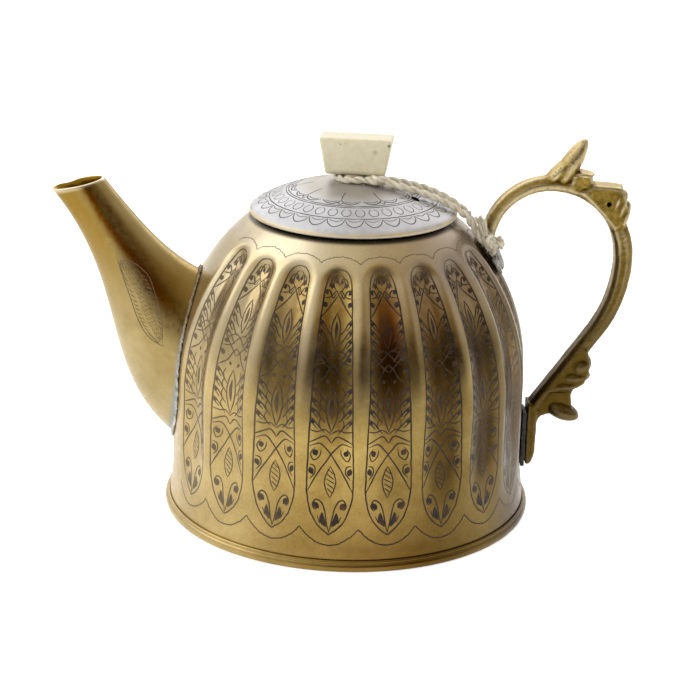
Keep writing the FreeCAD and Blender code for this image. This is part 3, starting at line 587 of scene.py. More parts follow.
# Lower long leaf between feathered leaves
engrave_both([(0.0, 52.0), (0.2, 49.4), (0.28, 46.2), (0.2, 43.0), (0.0, 39.6)], 0.52)
engrave([(0.02, 49.4), (-0.03, 46.6), (0.02, 43.2)], 1.3)
for low in (52.2, 49.4, 46.6, 43.6):
    engrave_both([(0.95, low + 0.4), (0.74, low - 1.0), (0.52, low - 2.8), (0.3, low - 4.4)])
    engrave_both([(0.5, low - 0.2), (0.58, low - 1.6), (0.5, low - 2.8)], 0.34)
    engrave_both([(0.95, low - 0.8), (0.8, low - 1.8), (0.66, low - 2.8)], 0.34)
    engrave_both([(0.93, low - 0.2), (0.79, low - 1.4)], 1.05)
# Two drooping stems, then a crossing that opens into the medallion's roof
engrave_both([(0.0, 36.4), (0.24, 38.2), (0.5, 38.0), (0.95, 36.8)], 0.52)
engrave_both([(0.0, 39.0), (0.3, 40.2), (0.62, 39.8), (0.94, 40.4)])
engrave_both([(-0.92, 35.8), (-0.5, 36.2), (-0.12, 34.0), (0.3, 30.2), (0.66, 26.4), (0.95, 22.6)], 0.52)
engrave_both([(0.44, 34.6), (0.5, 32.6), (0.74, 31.6), (0.86, 33.6), (0.7, 35.2)])
engrave_both([(0.74, 34.6), (0.62, 32.8)], 1.5)
engrave_both([(0.9, 30.4), (0.7, 29.8), (0.66, 28.0), (0.86, 26.2)])
engrave_both([(0.88, 29.6), (0.76, 27.4)], 1.4)
# Medallion: a hatched seed over two scrolls with black leaves
engrave_both([(0.0, 29.6), (0.17, 27.4), (0.24, 25.2), (0.16, 22.8), (0.0, 20.8)])
for step in range(5):
    middle = 22.6 + 1.35 * step
    half = 0.2 - 0.035 * abs(step - 2)
    engrave([(-half, middle + 0.9), (half, middle - 0.6)], 0.36)
engrave_both([
    (0.0, 10.8), (0.1, 13.6), (0.2, 17.2), (0.34, 19.4), (0.56, 20.2), (0.7, 18.8), (0.6, 17.4), (0.46, 18.2),
], 0.48)
engrave_both([(0.66, 19.4), (0.44, 17.6)], 1.6)
engrave_both([(0.3, 16.6), (0.28, 14.4), (0.12, 12.4)], 1.5)
engrave_both([(0.5, 15.6), (0.36, 13.4)], 0.34)
# Scalloped lines above and below, from ridge to ridge
half_step = FLUTE_STEP / 2
top_scale = half_step / flute_half_angle(FLUTE_HIGH)
low_scale = half_step / flute_half_angle(FLUTE_LOW)
engrave_both([
    (0.0, 83.9), (0.4 * top_scale, 83.7), (0.78 * top_scale, 83.1), (top_scale, 82.3),
], 0.27, taper=1.0, per_run=9, wriggle=0.09)
engrave_both([
    (0.0, 7.2), (0.36 * low_scale, 7.8), (0.72 * low_scale, 9.6), (low_scale, 12.0),
], 0.44, taper=1.0, wriggle=0.07)
panel_drawing = new_object("panel_drawing", drawn_mesh("panel_drawing", panel))

TREMOR_LENGTH = 2.5 * MM
THROW_OUT = 0.09
THROW_HEIGHT = 0.12
THROW_LENGTH = 0.15
tree, given = new_nodes("wrapped_drawing", {
    "Drawing": "Object", "Ground": "Object", "Copies": "Int", "First": "Float", "Step": "Float",
    "From Above": "Bool", "Tremor": "Float", "Seed": "Float", "Material": "Material",
})
copies = add(tree, "MeshLine", count=given["Copies"], offset=(0, 0, 0))
turn = add(tree, "Math.MULTIPLY_ADD", add(tree, "InputIndex"), given["Step"], given["First"])
numbered = add(tree, "StoreNamedAttribute", geometry=copies, name="turn", value=turn)
drawn = add(tree, "ObjectInfo", given["Drawing"]).outputs["Geometry"]
laid_flat = add(tree, "RealizeInstances", add(tree, "InstanceOnPoints", points=numbered, instance=drawn))
# The hand's tremor, which differs from copy to copy
flat_place = add(tree, "InputPosition")
kept_turn = add(tree, "InputNamedAttribute", name="turn")
tremor = add(
    tree, "TexNoise", add(tree, "VectorMath.SCALE", flat_place, 1 / TREMOR_LENGTH),
    w=add(tree, "Math.ADD", kept_turn, given["Seed"]), scale=1.0, detail=1.0, noise_dimensions="4D",
)
tremor_way = add(tree, "VectorMath.SUBTRACT", tremor.outputs["Color"], (0.5, 0.5, 0.5))
tremor_way = add(tree, "VectorMath.MULTIPLY", tremor_way, (1, 1, 0))
hand_drawn = add(tree, "VectorMath.ADD", flat_place, add(tree, "VectorMath.SCALE", tremor_way, given["Tremor"]))
# Each point is thrown on to the ground, from beside or from above. A line that misses it is broken there.
spot = add(tree, "SeparateXYZ", hand_drawn).outputs
bearing = add(tree, "Math.RADIANS", add(tree, "Math.MULTIPLY_ADD", spot["X"], 1 / MM, kept_turn))
way_out = add(tree, "CombineXYZ", add(tree, "Math.COSINE", bearing), add(tree, "Math.SINE", bearing))
beside = add(tree, "VectorMath.SCALE", way_out, THROW_OUT)
beside = add(tree, "VectorMath.ADD", beside, add(tree, "CombineXYZ", z=spot["Y"]))
over = add(tree, "VectorMath.SCALE", way_out, spot["Y"])
over = add(tree, "VectorMath.ADD", over, (0, 0, THROW_HEIGHT))
way_in = add(tree, "VectorMath.SCALE", way_out, -1.0)
start = add(tree, "Switch", given["From Above"], beside, over, input_type="VECTOR")
aim = add(tree, "Switch", given["From Above"], way_in, (0, 0, -1), input_type="VECTOR")
ground = add(tree, "ObjectInfo", given["Ground"]).outputs["Geometry"]
found = add(
    tree, "Raycast", target_geometry=ground, source_position=start, ray_direction=aim, ray_length=THROW_LENGTH,
).outputs
stand_off = add(tree, "VectorMath.SCALE", found["Hit Normal"], spot["Z"])
landed = add(tree, "VectorMath.ADD", found["Hit Position"], stand_off)
over_hole = add(tree, "BooleanMath.NOT", found["Is Hit"])
broken_line = add(tree, "DeleteGeometry", geometry=laid_flat, selection=over_hole)
laid = add(tree, "SetPosition", geometry=broken_line, position=landed)
wrap_nodes = finished(tree, laid, given)

# Burin lines: the cut is filled with black oxide and old polish, dark brown and matt. A painted glare makes them
# paler at the left, at the far right and near the top.
blackened_line, tree, shader, millimetres = new_material("blackened_line")
worn = add(tree, "TexNoise", millimetres, scale=1 / 2.5, detail=4.0)
tone = add(tree, "ValToRGB", worn, ramp=((0.40, "#150C06"), (0.75, "#4A3218")))
place = add(tree, "SeparateXYZ", millimetres).outputs
# Painted glare: paler lines at the left, the far right and near the top
painted_glare = 0.0
for axis, start, end, most in (("X", -14.0, -40.0, 0.55), ("X", 38.0, 48.0, 0.55), ("Z", 76.0, 82.0, 0.45)):
    zone = add(tree, "MapRange", place[axis], start, end, 0.0, most)
    painted_glare = add(tree, "Math.MAXIMUM", painted_glare, zone)
line_with_painted_glare = add(tree, "Mix.RGBA", painted_glare, tone, "#86765A")
fill(tree, shader, {"base color": line_with_painted_glare, "metallic": 0.25, "roughness": 0.55})

FIRST_FLUTE = 207.0 + FLUTE_TURN
FLUTES_CUT = 18
body_engraving = grown("body_engraving", wrap_nodes, {
    "Drawing": panel_drawing, "Ground": body, "Copies": FLUTES_CUT, "First": FIRST_FLUTE, "Step": FLUTE_STEP,
    "From Above": False, "Tremor": 0.5 * MM, "Seed": 3.0, "Material": blackened_line,
})
bpy.data.objects.remove(panel_drawing)
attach(body_engraving, "pot")

# Foot. A ring of half-round brass wire soldered round the bottom edge, a flat brass base plate inside it,
# and at the other end a plain brass ring soldered into the mouth, which the lid's collar drops into.
FOOT_INNER = 52.6
FOOT_OUTER = 54.0
FOOT_HEIGHT = 3.2
foot_profile = [
    (FOOT_INNER, 0.0), (53.3, 0.0), (53.75, 0.25), (53.95, 0.75), (FOOT_OUTER, 1.3), (53.9, 1.9), (53.6, 2.3),
    (53.35, 2.45), (53.4, 2.6), (53.35, 2.95), (53.1, FOOT_HEIGHT), (FOOT_INNER, FOOT_HEIGHT), (FOOT_INNER, 0.0),
]
foot = turned_piece("foot", foot_profile, 240, worn_brass)
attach(foot, "pot")
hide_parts("foot_ring")


def coat(node, material):
    """Gives a CAD piece that stays in view this material."""
    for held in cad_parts[node].material_slots:
        held.material = material


coat("base_plate", worn_brass)
coat("mouth_ring", worn_brass)

# Spout. Rolled from brass sheet, brazed along its back and drawn out to a pinched lip, then soldered on over
# the strainer holes. Both sides carry one hatched leaf, and a brown run down from the lip is a painted reflection
# of a dark band.
SPOUT_BELLY = ((-3.6, 18.0), (23.0, 36.5), (10.9, 65.0), (33.9, 93.7))
SPOUT_THROAT = ((-11.6, 68.5), (0.4, 73.0), (9.4, 84.5), (19.2, 97.1))
SPOUT_ROOT_HALF = 15.5
SPOUT_TIP_HALF = 5.4
SPOUT_NARROWING = 1.5
SPOUT_WALL = 1.2
SPOUT_ROWS = 110
SPOUT_SIDES = 96
LIP_PINCH = 0.40
FAR_SIDE_PINCH = 0.15
PINCH_START = 0.80
# Along the spout: where the painted reflection of a dark band runs, from the belly at -1 to the throat at 1
PAINTED_RUN = ((0.0, 0.52), (0.36, 0.46), (0.475, 0.45), (0.59, 0.40), (0.745, 0.24), (0.86, 0.17), (1.0, 0.28))


def bezier(handles, share):
    """Point of a spout outline: distance outside the wall, and height."""
    rest = 1 - share
    weights = (rest ** 3, 3 * rest ** 2 * share, 3 * rest * share ** 2, share ** 3)
    return Vector([sum(w * h[axis] for w, h in zip(weights, handles)) for axis in (0, 1)])


def between(table, share):
    """Values that run evenly from row to row of a table, at this share of the way."""
    low, high = next((a, b) for a, b in zip(table, table[1:]) if share <= b[0])
    part = (share - low[0]) / (high[0] - low[0])
    return [a + (b - a) * part for a, b in zip(low[1:], high[1:])]


def spout_point(share, turn, inset):
    """Point on the spout's skin, inset from it: along it from 0 to 1, round it from the belly at turn 0."""
    belly = bezier(SPOUT_BELLY, share)
    throat = bezier(SPOUT_THROAT, share)
    across = (throat - belly).normalized()
    half_length = (throat - belly).length / 2 - inset
    half_width = SPOUT_TIP_HALF + (SPOUT_ROOT_HALF - SPOUT_TIP_HALF) * (1 - share) ** SPOUT_NARROWING - inset
    near_lip = max(0.0, (share - PINCH_START) / (1 - PINCH_START))
    pinch = LIP_PINCH * near_lip ** 2 * math.exp(-((math.cos(turn) - 0.40) / 0.32) ** 2)
    if math.sin(turn) < 0:
        pinch *= FAR_SIDE_PINCH
    middle = (belly + throat) / 2 - across * half_length * math.cos(turn)
    return Vector((-WALL_RADIUS - middle.x, half_width * (1 - pinch) * math.sin(turn), middle.y))


def wall_start(turn, inset):
    """Share of the spout's length at which this line comes out of the body's wall."""
    low, high = 0.0, 1.0
    for _ in range(24):
        share = (low + high) / 2
        point = spout_point(share, turn, inset)
        if math.hypot(point.x, point.y) < wall_radius(point.z) - 0.4:
            low = share
        else:
            high = share
    return high


spout_skin = bmesh.new()
burn, scorch, bright, tinned = (
    spout_skin.verts.layers.float.new(name) for name in ("burn", "scorch", "bright", "tinned")
)


def rise(value, start, end):
    """Rise from 0 at the start to 1 at the end, and no further."""
    return min(1.0, max(0.0, (value - start) / (end - start)))


def spout_row(place, inset, inside=False):
    """One ring of points round the spout, each with shares of darkening (tarnish, painted shade and reflection),
    painted dark band, bright rim and painted highlight, and tin.
    """
    row = []
    for side in range(SPOUT_SIDES):
        turn = math.tau * side / SPOUT_SIDES
        start = wall_start(turn, inset)
        share = start + (1 - start) * min(place, 1.0)
        vert = spout_skin.verts.new(spout_point(share, turn, inset) * MM)
        across = -math.cos(turn)
        # Darkening: the run and the shade round it are a painted reflection of a dark band, root is painted shade in
        # the angle by the wall on the throat side, upper and tip darken towards the lip, most on the belly side
        run_middle = between(PAINTED_RUN, min(share, 1.0))[0]
        run = math.exp(-((across - run_middle) / 0.13) ** 2) * rise(share, 0.16, 0.34)
        shade = math.exp(-((across - run_middle - 0.12) / 0.40) ** 2) * rise(share, 0.05, 0.25)
        root = max(0.0, 1 - share / 0.55) * rise(across, 0.15, 0.50)
        upper = max(0.0, (share - 0.35) / 0.65)
        tip = min(1.0, 1.5 * upper) * rise(across, 0.2, -0.3)
        vert[tinned] = max(0.0, 1 - place / 0.05) * rise(vert.co.z / MM, 64, 46)
        vert[burn] = 0.7
        if not inside:
            vert[burn] = 0.34 * run + 0.26 * shade + 0.42 * root + 0.16 * upper + 0.42 * tip
            vert[scorch] = run
            # Bright rim at the lip, and a painted highlight on the belly side
            vert[bright] = max(0.0, (place - 0.985) / 0.015, 0.2 * (-across - 0.2) / 0.8 * (1 - upper))
        row.append(vert)
    return row


rows = [spout_row(index / SPOUT_ROWS, 0.0) for index in range(SPOUT_ROWS + 1)]
rows.append(spout_row(1.0, 0.45))
rows += [spout_row(1 - index / 40, min(SPOUT_WALL, 0.6 + 0.2 * index), True) for index in range(41)]
for low, high in zip(rows, rows[1:] + rows[:1]):
    for side in range(SPOUT_SIDES):
        spout_skin.faces.new((low[side], high[side], high[side - 1], low[side - 1]))
bmesh.ops.recalc_face_normals(spout_skin, faces=spout_skin.faces)
spout_mesh = drawn_mesh("spout_tube", spout_skin)
spout_mesh.shade_smooth()

# Spout brass: smoother than the body, olive where tarnish, painted shade and a painted dark reflection darken it,
# red-brown along a painted reflection of a dark band, with a painted highlight on the belly
burnt_brass, tree, shader, millimetres = new_material("burnt_brass")
mottle = add(tree, "TexNoise", millimetres, scale=1 / 9.0, detail=6.0, roughness=0.6)
specks = add(tree, "TexNoise", millimetres, scale=1 / 1.4, detail=4.0)
tone = add(tree, "ValToRGB", mottle, ramp=((0.32, "#937F4D"), (0.70, "#AD996B")))
measures = {
    name: add(tree, "Attribute", attribute_name=name).outputs["Fac"]
    for name in ("burn", "scorch", "bright", "tinned")
}
measures["specks"] = specks
measures["patchy burn"] = add(tree, "Math.MULTIPLY_ADD", mottle, 0.5, measures["burn"])
measures["smear"] = add(tree, "Math.MULTIPLY_ADD", mottle, 0.8, measures["tinned"])
tone = layered(tree, tone, measures, (
    # Olive: tarnish, painted shade and painted dark reflection
    ("#86660C", [("patchy burn", 0.42, 0.95, 0.0, 1.0)]),
    # Red-brown painted reflection of a dark band, speckled
    ("#742C04", [("scorch",), ("specks", 0.35, 0.62, 0.25, 0.9)]),
    # Bright rim at the lip, and a painted highlight on the belly
    ("#E3D9BC", [("bright",)]),
    ("#8E9593", [("smear", 0.62, 0.95, 0.0, 0.9)]),
))
rough = add(tree, "MapRange", specks, 0.3, 0.75, 0.26, 0.42)
surface = add(tree, "Bump", height=mottle, strength=0.3, distance=0.2 * MM)
fill(tree, shader, {"base color": tone, "metallic": 1.0, "roughness": rough, "normal": surface})
spout_mesh.materials.append(burnt_brass)
spout = new_object("spout_tube", spout_mesh)
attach(spout, "pot")
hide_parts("spout")

# Leaf on both sides of the spout, cut with a burin and blackened like the lines of the body: its outline and
# rows of short hatches, drawn in the plane of the spout and laid on its skin
LEAF_FRONT = [
    (-66.8, 74.8), (-65.0, 69.4), (-63.0, 63.6), (-61.5, 59.2), (-59.6, 55.3), (-57.2, 52.6), (-53.9, 51.0),
]
LEAF_BACK = [
    (-66.8, 74.8), (-62.6, 74.4), (-58.4, 71.1), (-56.6, 67.2), (-55.3, 62.8), (-54.3, 58.4), (-53.9, 51.0),
]
leaf = bmesh.new()


def flat_sheet(spot):
    return spot.x * MM, spot.y * MM


cut_line(leaf, LEAF_FRONT, 0.32, 0.6, flat_sheet)
cut_line(leaf, LEAF_BACK, 0.22, 0.5, flat_sheet)
front_line = smooth_line([Vector(p) for p in LEAF_FRONT], 7)
back_line = smooth_line([Vector(p) for p in LEAF_BACK], 7)
for index in range(2, len(front_line) - 3):
    near, far = front_line[index], back_line[index]
    hatches = 3 + index % 2
    for hatch in range(hatches):
        first = near.lerp(far, (hatch + 0.2) / hatches) + Vector((-0.1, 0.8))
        last = near.lerp(far, (hatch + 0.75) / hatches) + Vector((0.2, -0.9))
        bent = first.lerp(last, 0.5) + Vector((-0.12, -0.2))
        cut_line(leaf, [first, bent, last], 0.20, 0.5, flat_sheet, per_run=2)
INSIDE_SPOUT = Vector((-0.06, 0, 0.06))
skin = bmesh.new()
bpy.context.view_layer.update()
for way in (-1, 1):
    side_leaf = leaf.copy()
    for vert in side_leaf.verts:
        beside = Vector((vert.co.x, way * 0.05, vert.co.y))
        hit, place, normal, _ = spout.ray_cast(beside, Vector((0, -way, 0)))
        vert.co = place + normal * vert.co.z if hit else INSIDE_SPOUT
    if way > 0:
        bmesh.ops.reverse_faces(side_leaf, faces=side_leaf.faces)
    skin.from_mesh(drawn_mesh("leaf_side", side_leaf))
leaf_mesh = drawn_mesh("spout_leaves", skin)
leaf_mesh.materials.append(blackened_line)
spout_leaves = new_object("spout_leaves", leaf_mesh)
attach(spout_leaves, "pot")

# Handle. Sand-cast brass: a bow with filed bevels, a thumb leaf, a scroll with an eye and a two-lobed leaf
# below. Its foot is soldered to the wall, its root to a strap bent up from the shoulder.
BOW_TOP = (56.5, 97.16)
ROOT_ARC = 17.7
BACK_ARC = 22.1
SWEEP_ARC = 39.7
SWEEP_TURN = 35.3
STRUT_END = (54.4, 28.3)
OUTER_BEVEL = (1.9, 1.4)
INNER_BEVEL = (1.1, 1.2)
HANDLE_VOXEL = 0.34
handle_parts = bmesh.new()


def arc_points(centre, radius, first, last, count):
    turns = [math.radians(a) for a in steps(first, last, count)]
    return [Vector((centre[0] + radius * math.cos(t), centre[1] + radius * math.sin(t))) for t in turns]


def prism(shape, ring_rows):
    """Closed skin through rows of points, with a cap at each end."""
    rows = [[shape.verts.new(Vector(p) * MM) for p in row] for row in ring_rows]
    for low, high in zip(rows, rows[1:]):
        for side in range(len(low)):
            shape.faces.new((low[side - 1], low[side], high[side], high[side - 1]))
    shape.faces.new(list(reversed(rows[0])))
    shape.faces.new(rows[-1])


def slab(outline, half_width):
    """Flat plate of metal in the plane of the handle, from its side outline."""
    prism(handle_parts, [[(x, side * half_width, z) for x, z in outline] for side in (-1, 1)])


def lobe(start, end, radius, half_width, tip=0.8):
    """Rounded lobe of metal along a line in the plane of the handle."""
    start, end = Vector((start[0], 0, start[1])), Vector((end[0], 0, end[1]))
    way = (end - start).normalized()
    across = Vector((-way.z, 0, way.x))
    rows = []
    for row in range(1, 14):
        turn = math.pi * row / 14
        share = (1 - math.cos(turn)) / 2
        size = math.sin(turn) * (1 - (1 - tip) * share)
        middle = start.lerp(end, share)
        turns = [math.tau * side / 20 for side in range(20)]
        rows.append([
            middle + across * radius * size * math.cos(t) + Vector((0, half_width * size * math.sin(t), 0))
            for t in turns
        ])
    prism(handle_parts, rows)


bow_line = [Vector((BOW_TOP[0] - ROOT_ARC, BOW_TOP[1] - ROOT_ARC - 1.2))]
bow_line += arc_points((BOW_TOP[0], BOW_TOP[1] - ROOT_ARC), ROOT_ARC, 180, 90, 28)
bow_line += arc_points((BOW_TOP[0], BOW_TOP[1] - BACK_ARC), BACK_ARC, 90, 0, 34)[1:]
sweep_centre = (BOW_TOP[0] + BACK_ARC - SWEEP_ARC, BOW_TOP[1] - BACK_ARC)
bow_line += arc_points(sweep_centre, SWEEP_ARC, 0, -SWEEP_TURN, 22)[1:]
bow_line += [bow_line[-1].lerp(Vector(STRUT_END), share) for share in steps(0, 1, 12)[1:]]
# Half thickness and half width along the bow: root, crown, back and foot
BOW_SIZES = ((0.0, 1.9, 3.0), (0.28, 2.1, 3.2), (0.62, 2.7, 3.4), (0.8, 2.5, 3.4), (1.0, 2.1, 3.3))
bow_rows = []
for index, here in enumerate(bow_line):
    along = bow_line[min(index + 1, len(bow_line) - 1)] - bow_line[max(index - 1, 0)]
    out = Vector((-along.y, along.x)).normalized()
    share = index / (len(bow_line) - 1)
    thick, wide = between(BOW_SIZES, share)
    half_section = [
        (-thick, wide - INNER_BEVEL[1]), (INNER_BEVEL[0] - thick, wide), (thick - OUTER_BEVEL[0], wide),
        (thick, wide - OUTER_BEVEL[1]),
    ]
    section = half_section + [(n, -y) for n, y in reversed(half_section)]
    bow_rows.append([(here.x + out.x * n, y, here.y + out.y * n) for n, y in section])
prism(handle_parts, bow_rows)
# Foot plate against the wall, and the block of the scroll with its three folds
slab([(52.9, 12.4), (53.3, 11.4), (54.4, 11.4), (55.3, 12.8), (55.9, 15.5), (56.1, 28.3), (52.9, 31.3)], 3.3)
slab([
    (64.6, 95.0), (68.5, 97.3), (76.0, 96.8), (77.3, 95.5), (77.9, 93.3), (78.4, 90.4), (77.7, 87.5), (76.3, 85.2),
    (74.6, 84.4), (71.0, 88.6),
], 3.6)
for start, end in (((76.6, 97.4), (73.6, 86.0)), ((78.2, 95.4), (75.2, 84.0)), ((79.3, 92.2), (76.6, 82.8))):
    lobe(start, end, 1.4, 4.5, 0.8)
# Thumb leaf: one plump blade that leans out over the bow, with a shelf behind it
slab([
    (56.2, 98.4), (57.6, 100.4), (59.4, 102.6), (60.2, 105.1), (61.8, 107.2), (64.2, 108.4), (65.6, 107.6),
    (65.5, 105.2), (64.2, 101.6), (64.4, 97.0), (61.0, 95.6),
], 1.6)
lobe((57.6, 95.6), (65.9, 110.3), 3.2, 4.1, 0.8)
lobe((54.2, 96.6), (62.6, 105.0), 2.0, 3.6, 0.9)
slab([(61.0, 95.6), (62.5, 100.2), (64.6, 101.0), (67.6, 100.3), (68.4, 97.2)], 3.3)
lobe((62.0, 100.2), (69.0, 99.9), 0.9, 3.9, 0.95)
# Leaf below: a broad upper lobe with a fold along its foot, a neck in its shadow and a drop that points out
slab([
    (69.8, 47.4), (70.7, 43.9), (70.5, 40.5), (69.4, 37.6), (67.4, 35.8), (64.0, 34.6), (58.6, 34.6), (63.0, 42.0),
    (67.6, 48.4),
], 3.5)
slab([
    (67.2, 36.4), (65.8, 33.3), (66.4, 29.5), (66.4, 27.2), (64.0, 26.6), (60.6, 27.6), (57.1, 26.5), (55.6, 24.0),
    (54.6, 29.0), (59.4, 35.6),
], 2.5)
for start, end, radius, half_width in (
    ((64.4, 40.6), (71.5, 44.0), 3.3, 4.6), ((61.0, 38.6), (71.6, 39.2), 2.4, 4.5),
    ((57.6, 35.4), (70.2, 37.0), 1.7, 4.4), ((58.2, 30.0), (68.9, 25.6), 2.8, 4.5),
):
    lobe(start, end, radius, half_width, 0.95)


def fused(name, parts, voxel, rounds):
    """Mesh of one skin round all the parts, as a casting or a run of solder has, with its edges softened."""
    holder = new_object(name + "_parts", drawn_mesh(name + "_parts", parts))
    skin = holder.modifiers.new("one_skin", "REMESH")
    skin.mode = "VOXEL"
    skin.voxel_size = voxel * MM
    softened = holder.modifiers.new("softened", "SMOOTH")
    softened.iterations = rounds
    softened.factor = 0.5
    result = plain(holder)
    bpy.data.objects.remove(holder)
    return result


tree, given = new_nodes("cast_skin", {
    "Casting": "Geometry", "Lump": "Float", "Lump Size": "Float", "Pit": "Float", "Pit Size": "Float",
    "Seed": "Float", "Material": "Material",
})
here = add(tree, "InputPosition")
outwards = add(tree, "InputNormal")
# How far each point stands out of the skin round it, in millimetres, and how far it faces sideways
evened = add(tree, "BlurAttribute.FLOAT_VECTOR", value=here, iterations=7)
stands_out = add(tree, "VectorMath.DOT_PRODUCT", add(tree, "VectorMath.SUBTRACT", here, evened), outwards)
sideways = add(tree, "Math.ABSOLUTE", add(tree, "SeparateXYZ", outwards).outputs["Y"])
marked = given["Casting"]
for name, value in (("edge", add(tree, "Math.MULTIPLY", stands_out, 1 / MM)), ("side", sideways)):
    marked = add(tree, "StoreNamedAttribute", geometry=marked, name=name, value=value)
heights = []
for size, *ends in (("Lump Size", 0.25, 0.75, -1.0, 0.25), ("Pit Size", 0.55, 0.72, 0.0, -1.0)):
    place = add(tree, "VectorMath.SCALE", here, add(tree, "Math.DIVIDE", 1.0, given[size]))
    noise = add(tree, "TexNoise", place, w=given["Seed"], scale=1.0, detail=2.0, noise_dimensions="4D")
    heights.append(add(tree, "MapRange", noise, *ends))
raised = add(tree, "Math.MULTIPLY", heights[0], given["Lump"])
raised = add(tree, "Math.MULTIPLY_ADD", heights[1], given["Pit"], raised)
shift = add(tree, "VectorMath.SCALE", outwards, raised)
shifted = add(tree, "SetPosition", geometry=marked, offset=shift)
cast_nodes = finished(tree, shifted, given)

# Cast brass: dull olive skin full of sand pits, unfiled on its sides, dark in the hollows, sooty at the joint
# with the wall, pale along the edges, partly rubbed and partly painted highlight, and darker towards the bottom
SOOTY_JOINT = (53.6, 0.0, 33.4)
cast_brass, tree, shader, millimetres = new_material("cast_brass")
skin_noise = add(tree, "TexNoise", millimetres, scale=1 / 3.0, detail=6.0, roughness=0.65)
tone = add(tree, "ValToRGB", skin_noise, ramp=((0.30, "#92783A"), (0.72, "#C8B27A")))
patches = add(tree, "TexNoise", millimetres, scale=1 / 2.0, detail=5.0, roughness=0.7)
patch_tone = add(tree, "ValToRGB", patches, ramp=((0.40, "#6A5614"), (0.64, "#A48A3E")))
sand = add(tree, "TexNoise", millimetres, scale=1 / 0.6, detail=3.0)
measures = {
    "edge": add(tree, "Attribute", attribute_name="edge").outputs["Fac"],
    "side": add(tree, "Attribute", attribute_name="side").outputs["Fac"],
    "joint": add(tree, "VectorMath.DISTANCE", millimetres, SOOTY_JOINT),
    "sand": sand,
    "height": add(tree, "SeparateXYZ", millimetres).outputs["Z"],
}
tone = layered(tree, tone, measures, (
    (patch_tone, [("side", 0.60, 0.90, 0.0, 0.85)]),
    # Pale edges: rubbed brass and a painted highlight
    ("#D9C9A0", [("edge", 0.015, 0.08, 0.0, 0.85)]),
    ("#2E2410", [("edge", -0.10, -0.015, 0.85, 0.0)]),
    ("#1C150C", [("joint", 3.0, 8.5, 0.85, 0.0)]),
    ("#3A2A0C", [("sand", 0.58, 0.72, 0.0, 0.7)]),
    # Darker towards the bottom
    ("#4C3A12", [("height", 56.0, 100.0, 0.9, 0.15)]),
))
rough = add(tree, "MapRange", skin_noise, 0.3, 0.7, 0.32, 0.5)
surface = add(tree, "Bump", height=sand, strength=0.5, distance=0.12 * MM)
fill(tree, shader, {"base color": tone, "metallic": 1.0, "roughness": rough, "normal": surface})

handle = grown("handle_casting", cast_nodes, {
    "Lump": 0.12 * MM, "Lump Size": 4.0 * MM, "Pit": 0.12 * MM, "Pit Size": 1.0 * MM, "Seed": 2.0,
    "Material": cast_brass,
}, fused("handle_casting", handle_parts, HANDLE_VOXEL, 9))

# Bores: near black inside, a painted shade for the dark of the hole
bore_painted_shade, tree, shader, millimetres = new_material("bore_painted_shade")
fill(tree, shader, {"base color": "#120D08", "roughness": 0.9})


def drilled(piece, place, way, radius, depth):
    """Cuts a round hole into a piece, centred on this place."""
    bit = bmesh.new()
    turn = Vector(way).to_track_quat("Z", "Y").to_matrix().to_4x4()
    bmesh.ops.create_cone(
        bit, cap_ends=True, segments=24, radius1=radius * MM, radius2=radius * MM, depth=depth * MM,
        matrix=Matrix.Translation(Vector(place) * MM) @ turn,
    )
    tool = new_object("drill_bit", drawn_mesh("drill_bit", bit))
    tool.data.materials.append(bore_painted_shade)
    cut = piece.modifiers.new("cut", "BOOLEAN")
    cut.object = tool
    cut.solver = "EXACT"
    cut.material_mode = "TRANSFER"
    piece.data = plain(piece)
    piece.modifiers.remove(cut)
    bpy.data.objects.remove(tool)


EYE_PLACE = (72.9, 0.0, 91.9)
drilled(handle, EYE_PLACE, (0, 1, 0), 0.75, 20.0)
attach(handle, "pot")
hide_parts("handle")

# Solder. Runs of grey tin-lead round the root of the spout, under the strap and behind the handle's foot, melted
# in and wiped by hand. They are black with flux and dirt where they were never cleaned.
grey_solder, tree, shader, millimetres = new_material("grey_solder")
smear = add(tree, "TexNoise", millimetres, scale=1 / 2.2, detail=6.0, roughness=0.65)
tone = add(tree, "ValToRGB", smear, ramp=((0.36, "#85837A"), (0.62, "#CFCFC8")))
measures = dict(add(tree, "SeparateXYZ", millimetres).outputs.items())
measures["spout side"] = add(tree, "Math.LESS_THAN", measures["X"], 0.0)
tone = layered(tree, tone, measures, [("#7C683E", [("Z", 44.0, 60.0, 0.0, 0.85), ("spout side",)])])
surface = add(tree, "Bump", height=smear, strength=0.7, distance=0.3 * MM)
fill(tree, shader, {"base color": tone, "metallic": 0.5, "roughness": 0.5, "normal": surface})
black_solder, tree, shader, millimetres = new_material("black_solder")
soot = add(tree, "TexNoise", millimetres, scale=1 / 1.8, detail=5.0)
tone = add(tree, "ValToRGB", soot, ramp=((0.4, "#16140F"), (0.75, "#4E4C44")))
fill(tree, shader, {"base color": tone, "roughness": 0.6})


def solder_run(node, material, lump):
    """Lumpy run of solder in the place of a CAD bead."""
    bead = bmesh.new()
    bead.from_mesh(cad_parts[node].data)
    bead.transform(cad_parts[node].matrix_world)
    bmesh.ops.remove_doubles(bead, verts=bead.verts, dist=0.001 * MM)
    run = grown(node + "_run", cast_nodes, {
        "Lump": lump * MM, "Lump Size": 2.2 * MM, "Pit": 0.2 * MM, "Pit Size": 0.9 * MM, "Seed": 5.0,
        "Material": material,
    }, fused(node, bead, 0.25, 3))
    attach(run, "pot")
    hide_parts(node)


solder_run("spout_solder", grey_solder, 0.5)
solder_run("lug_solder", grey_solder, 0.2)
solder_run("foot_solder", black_solder, 0.2)

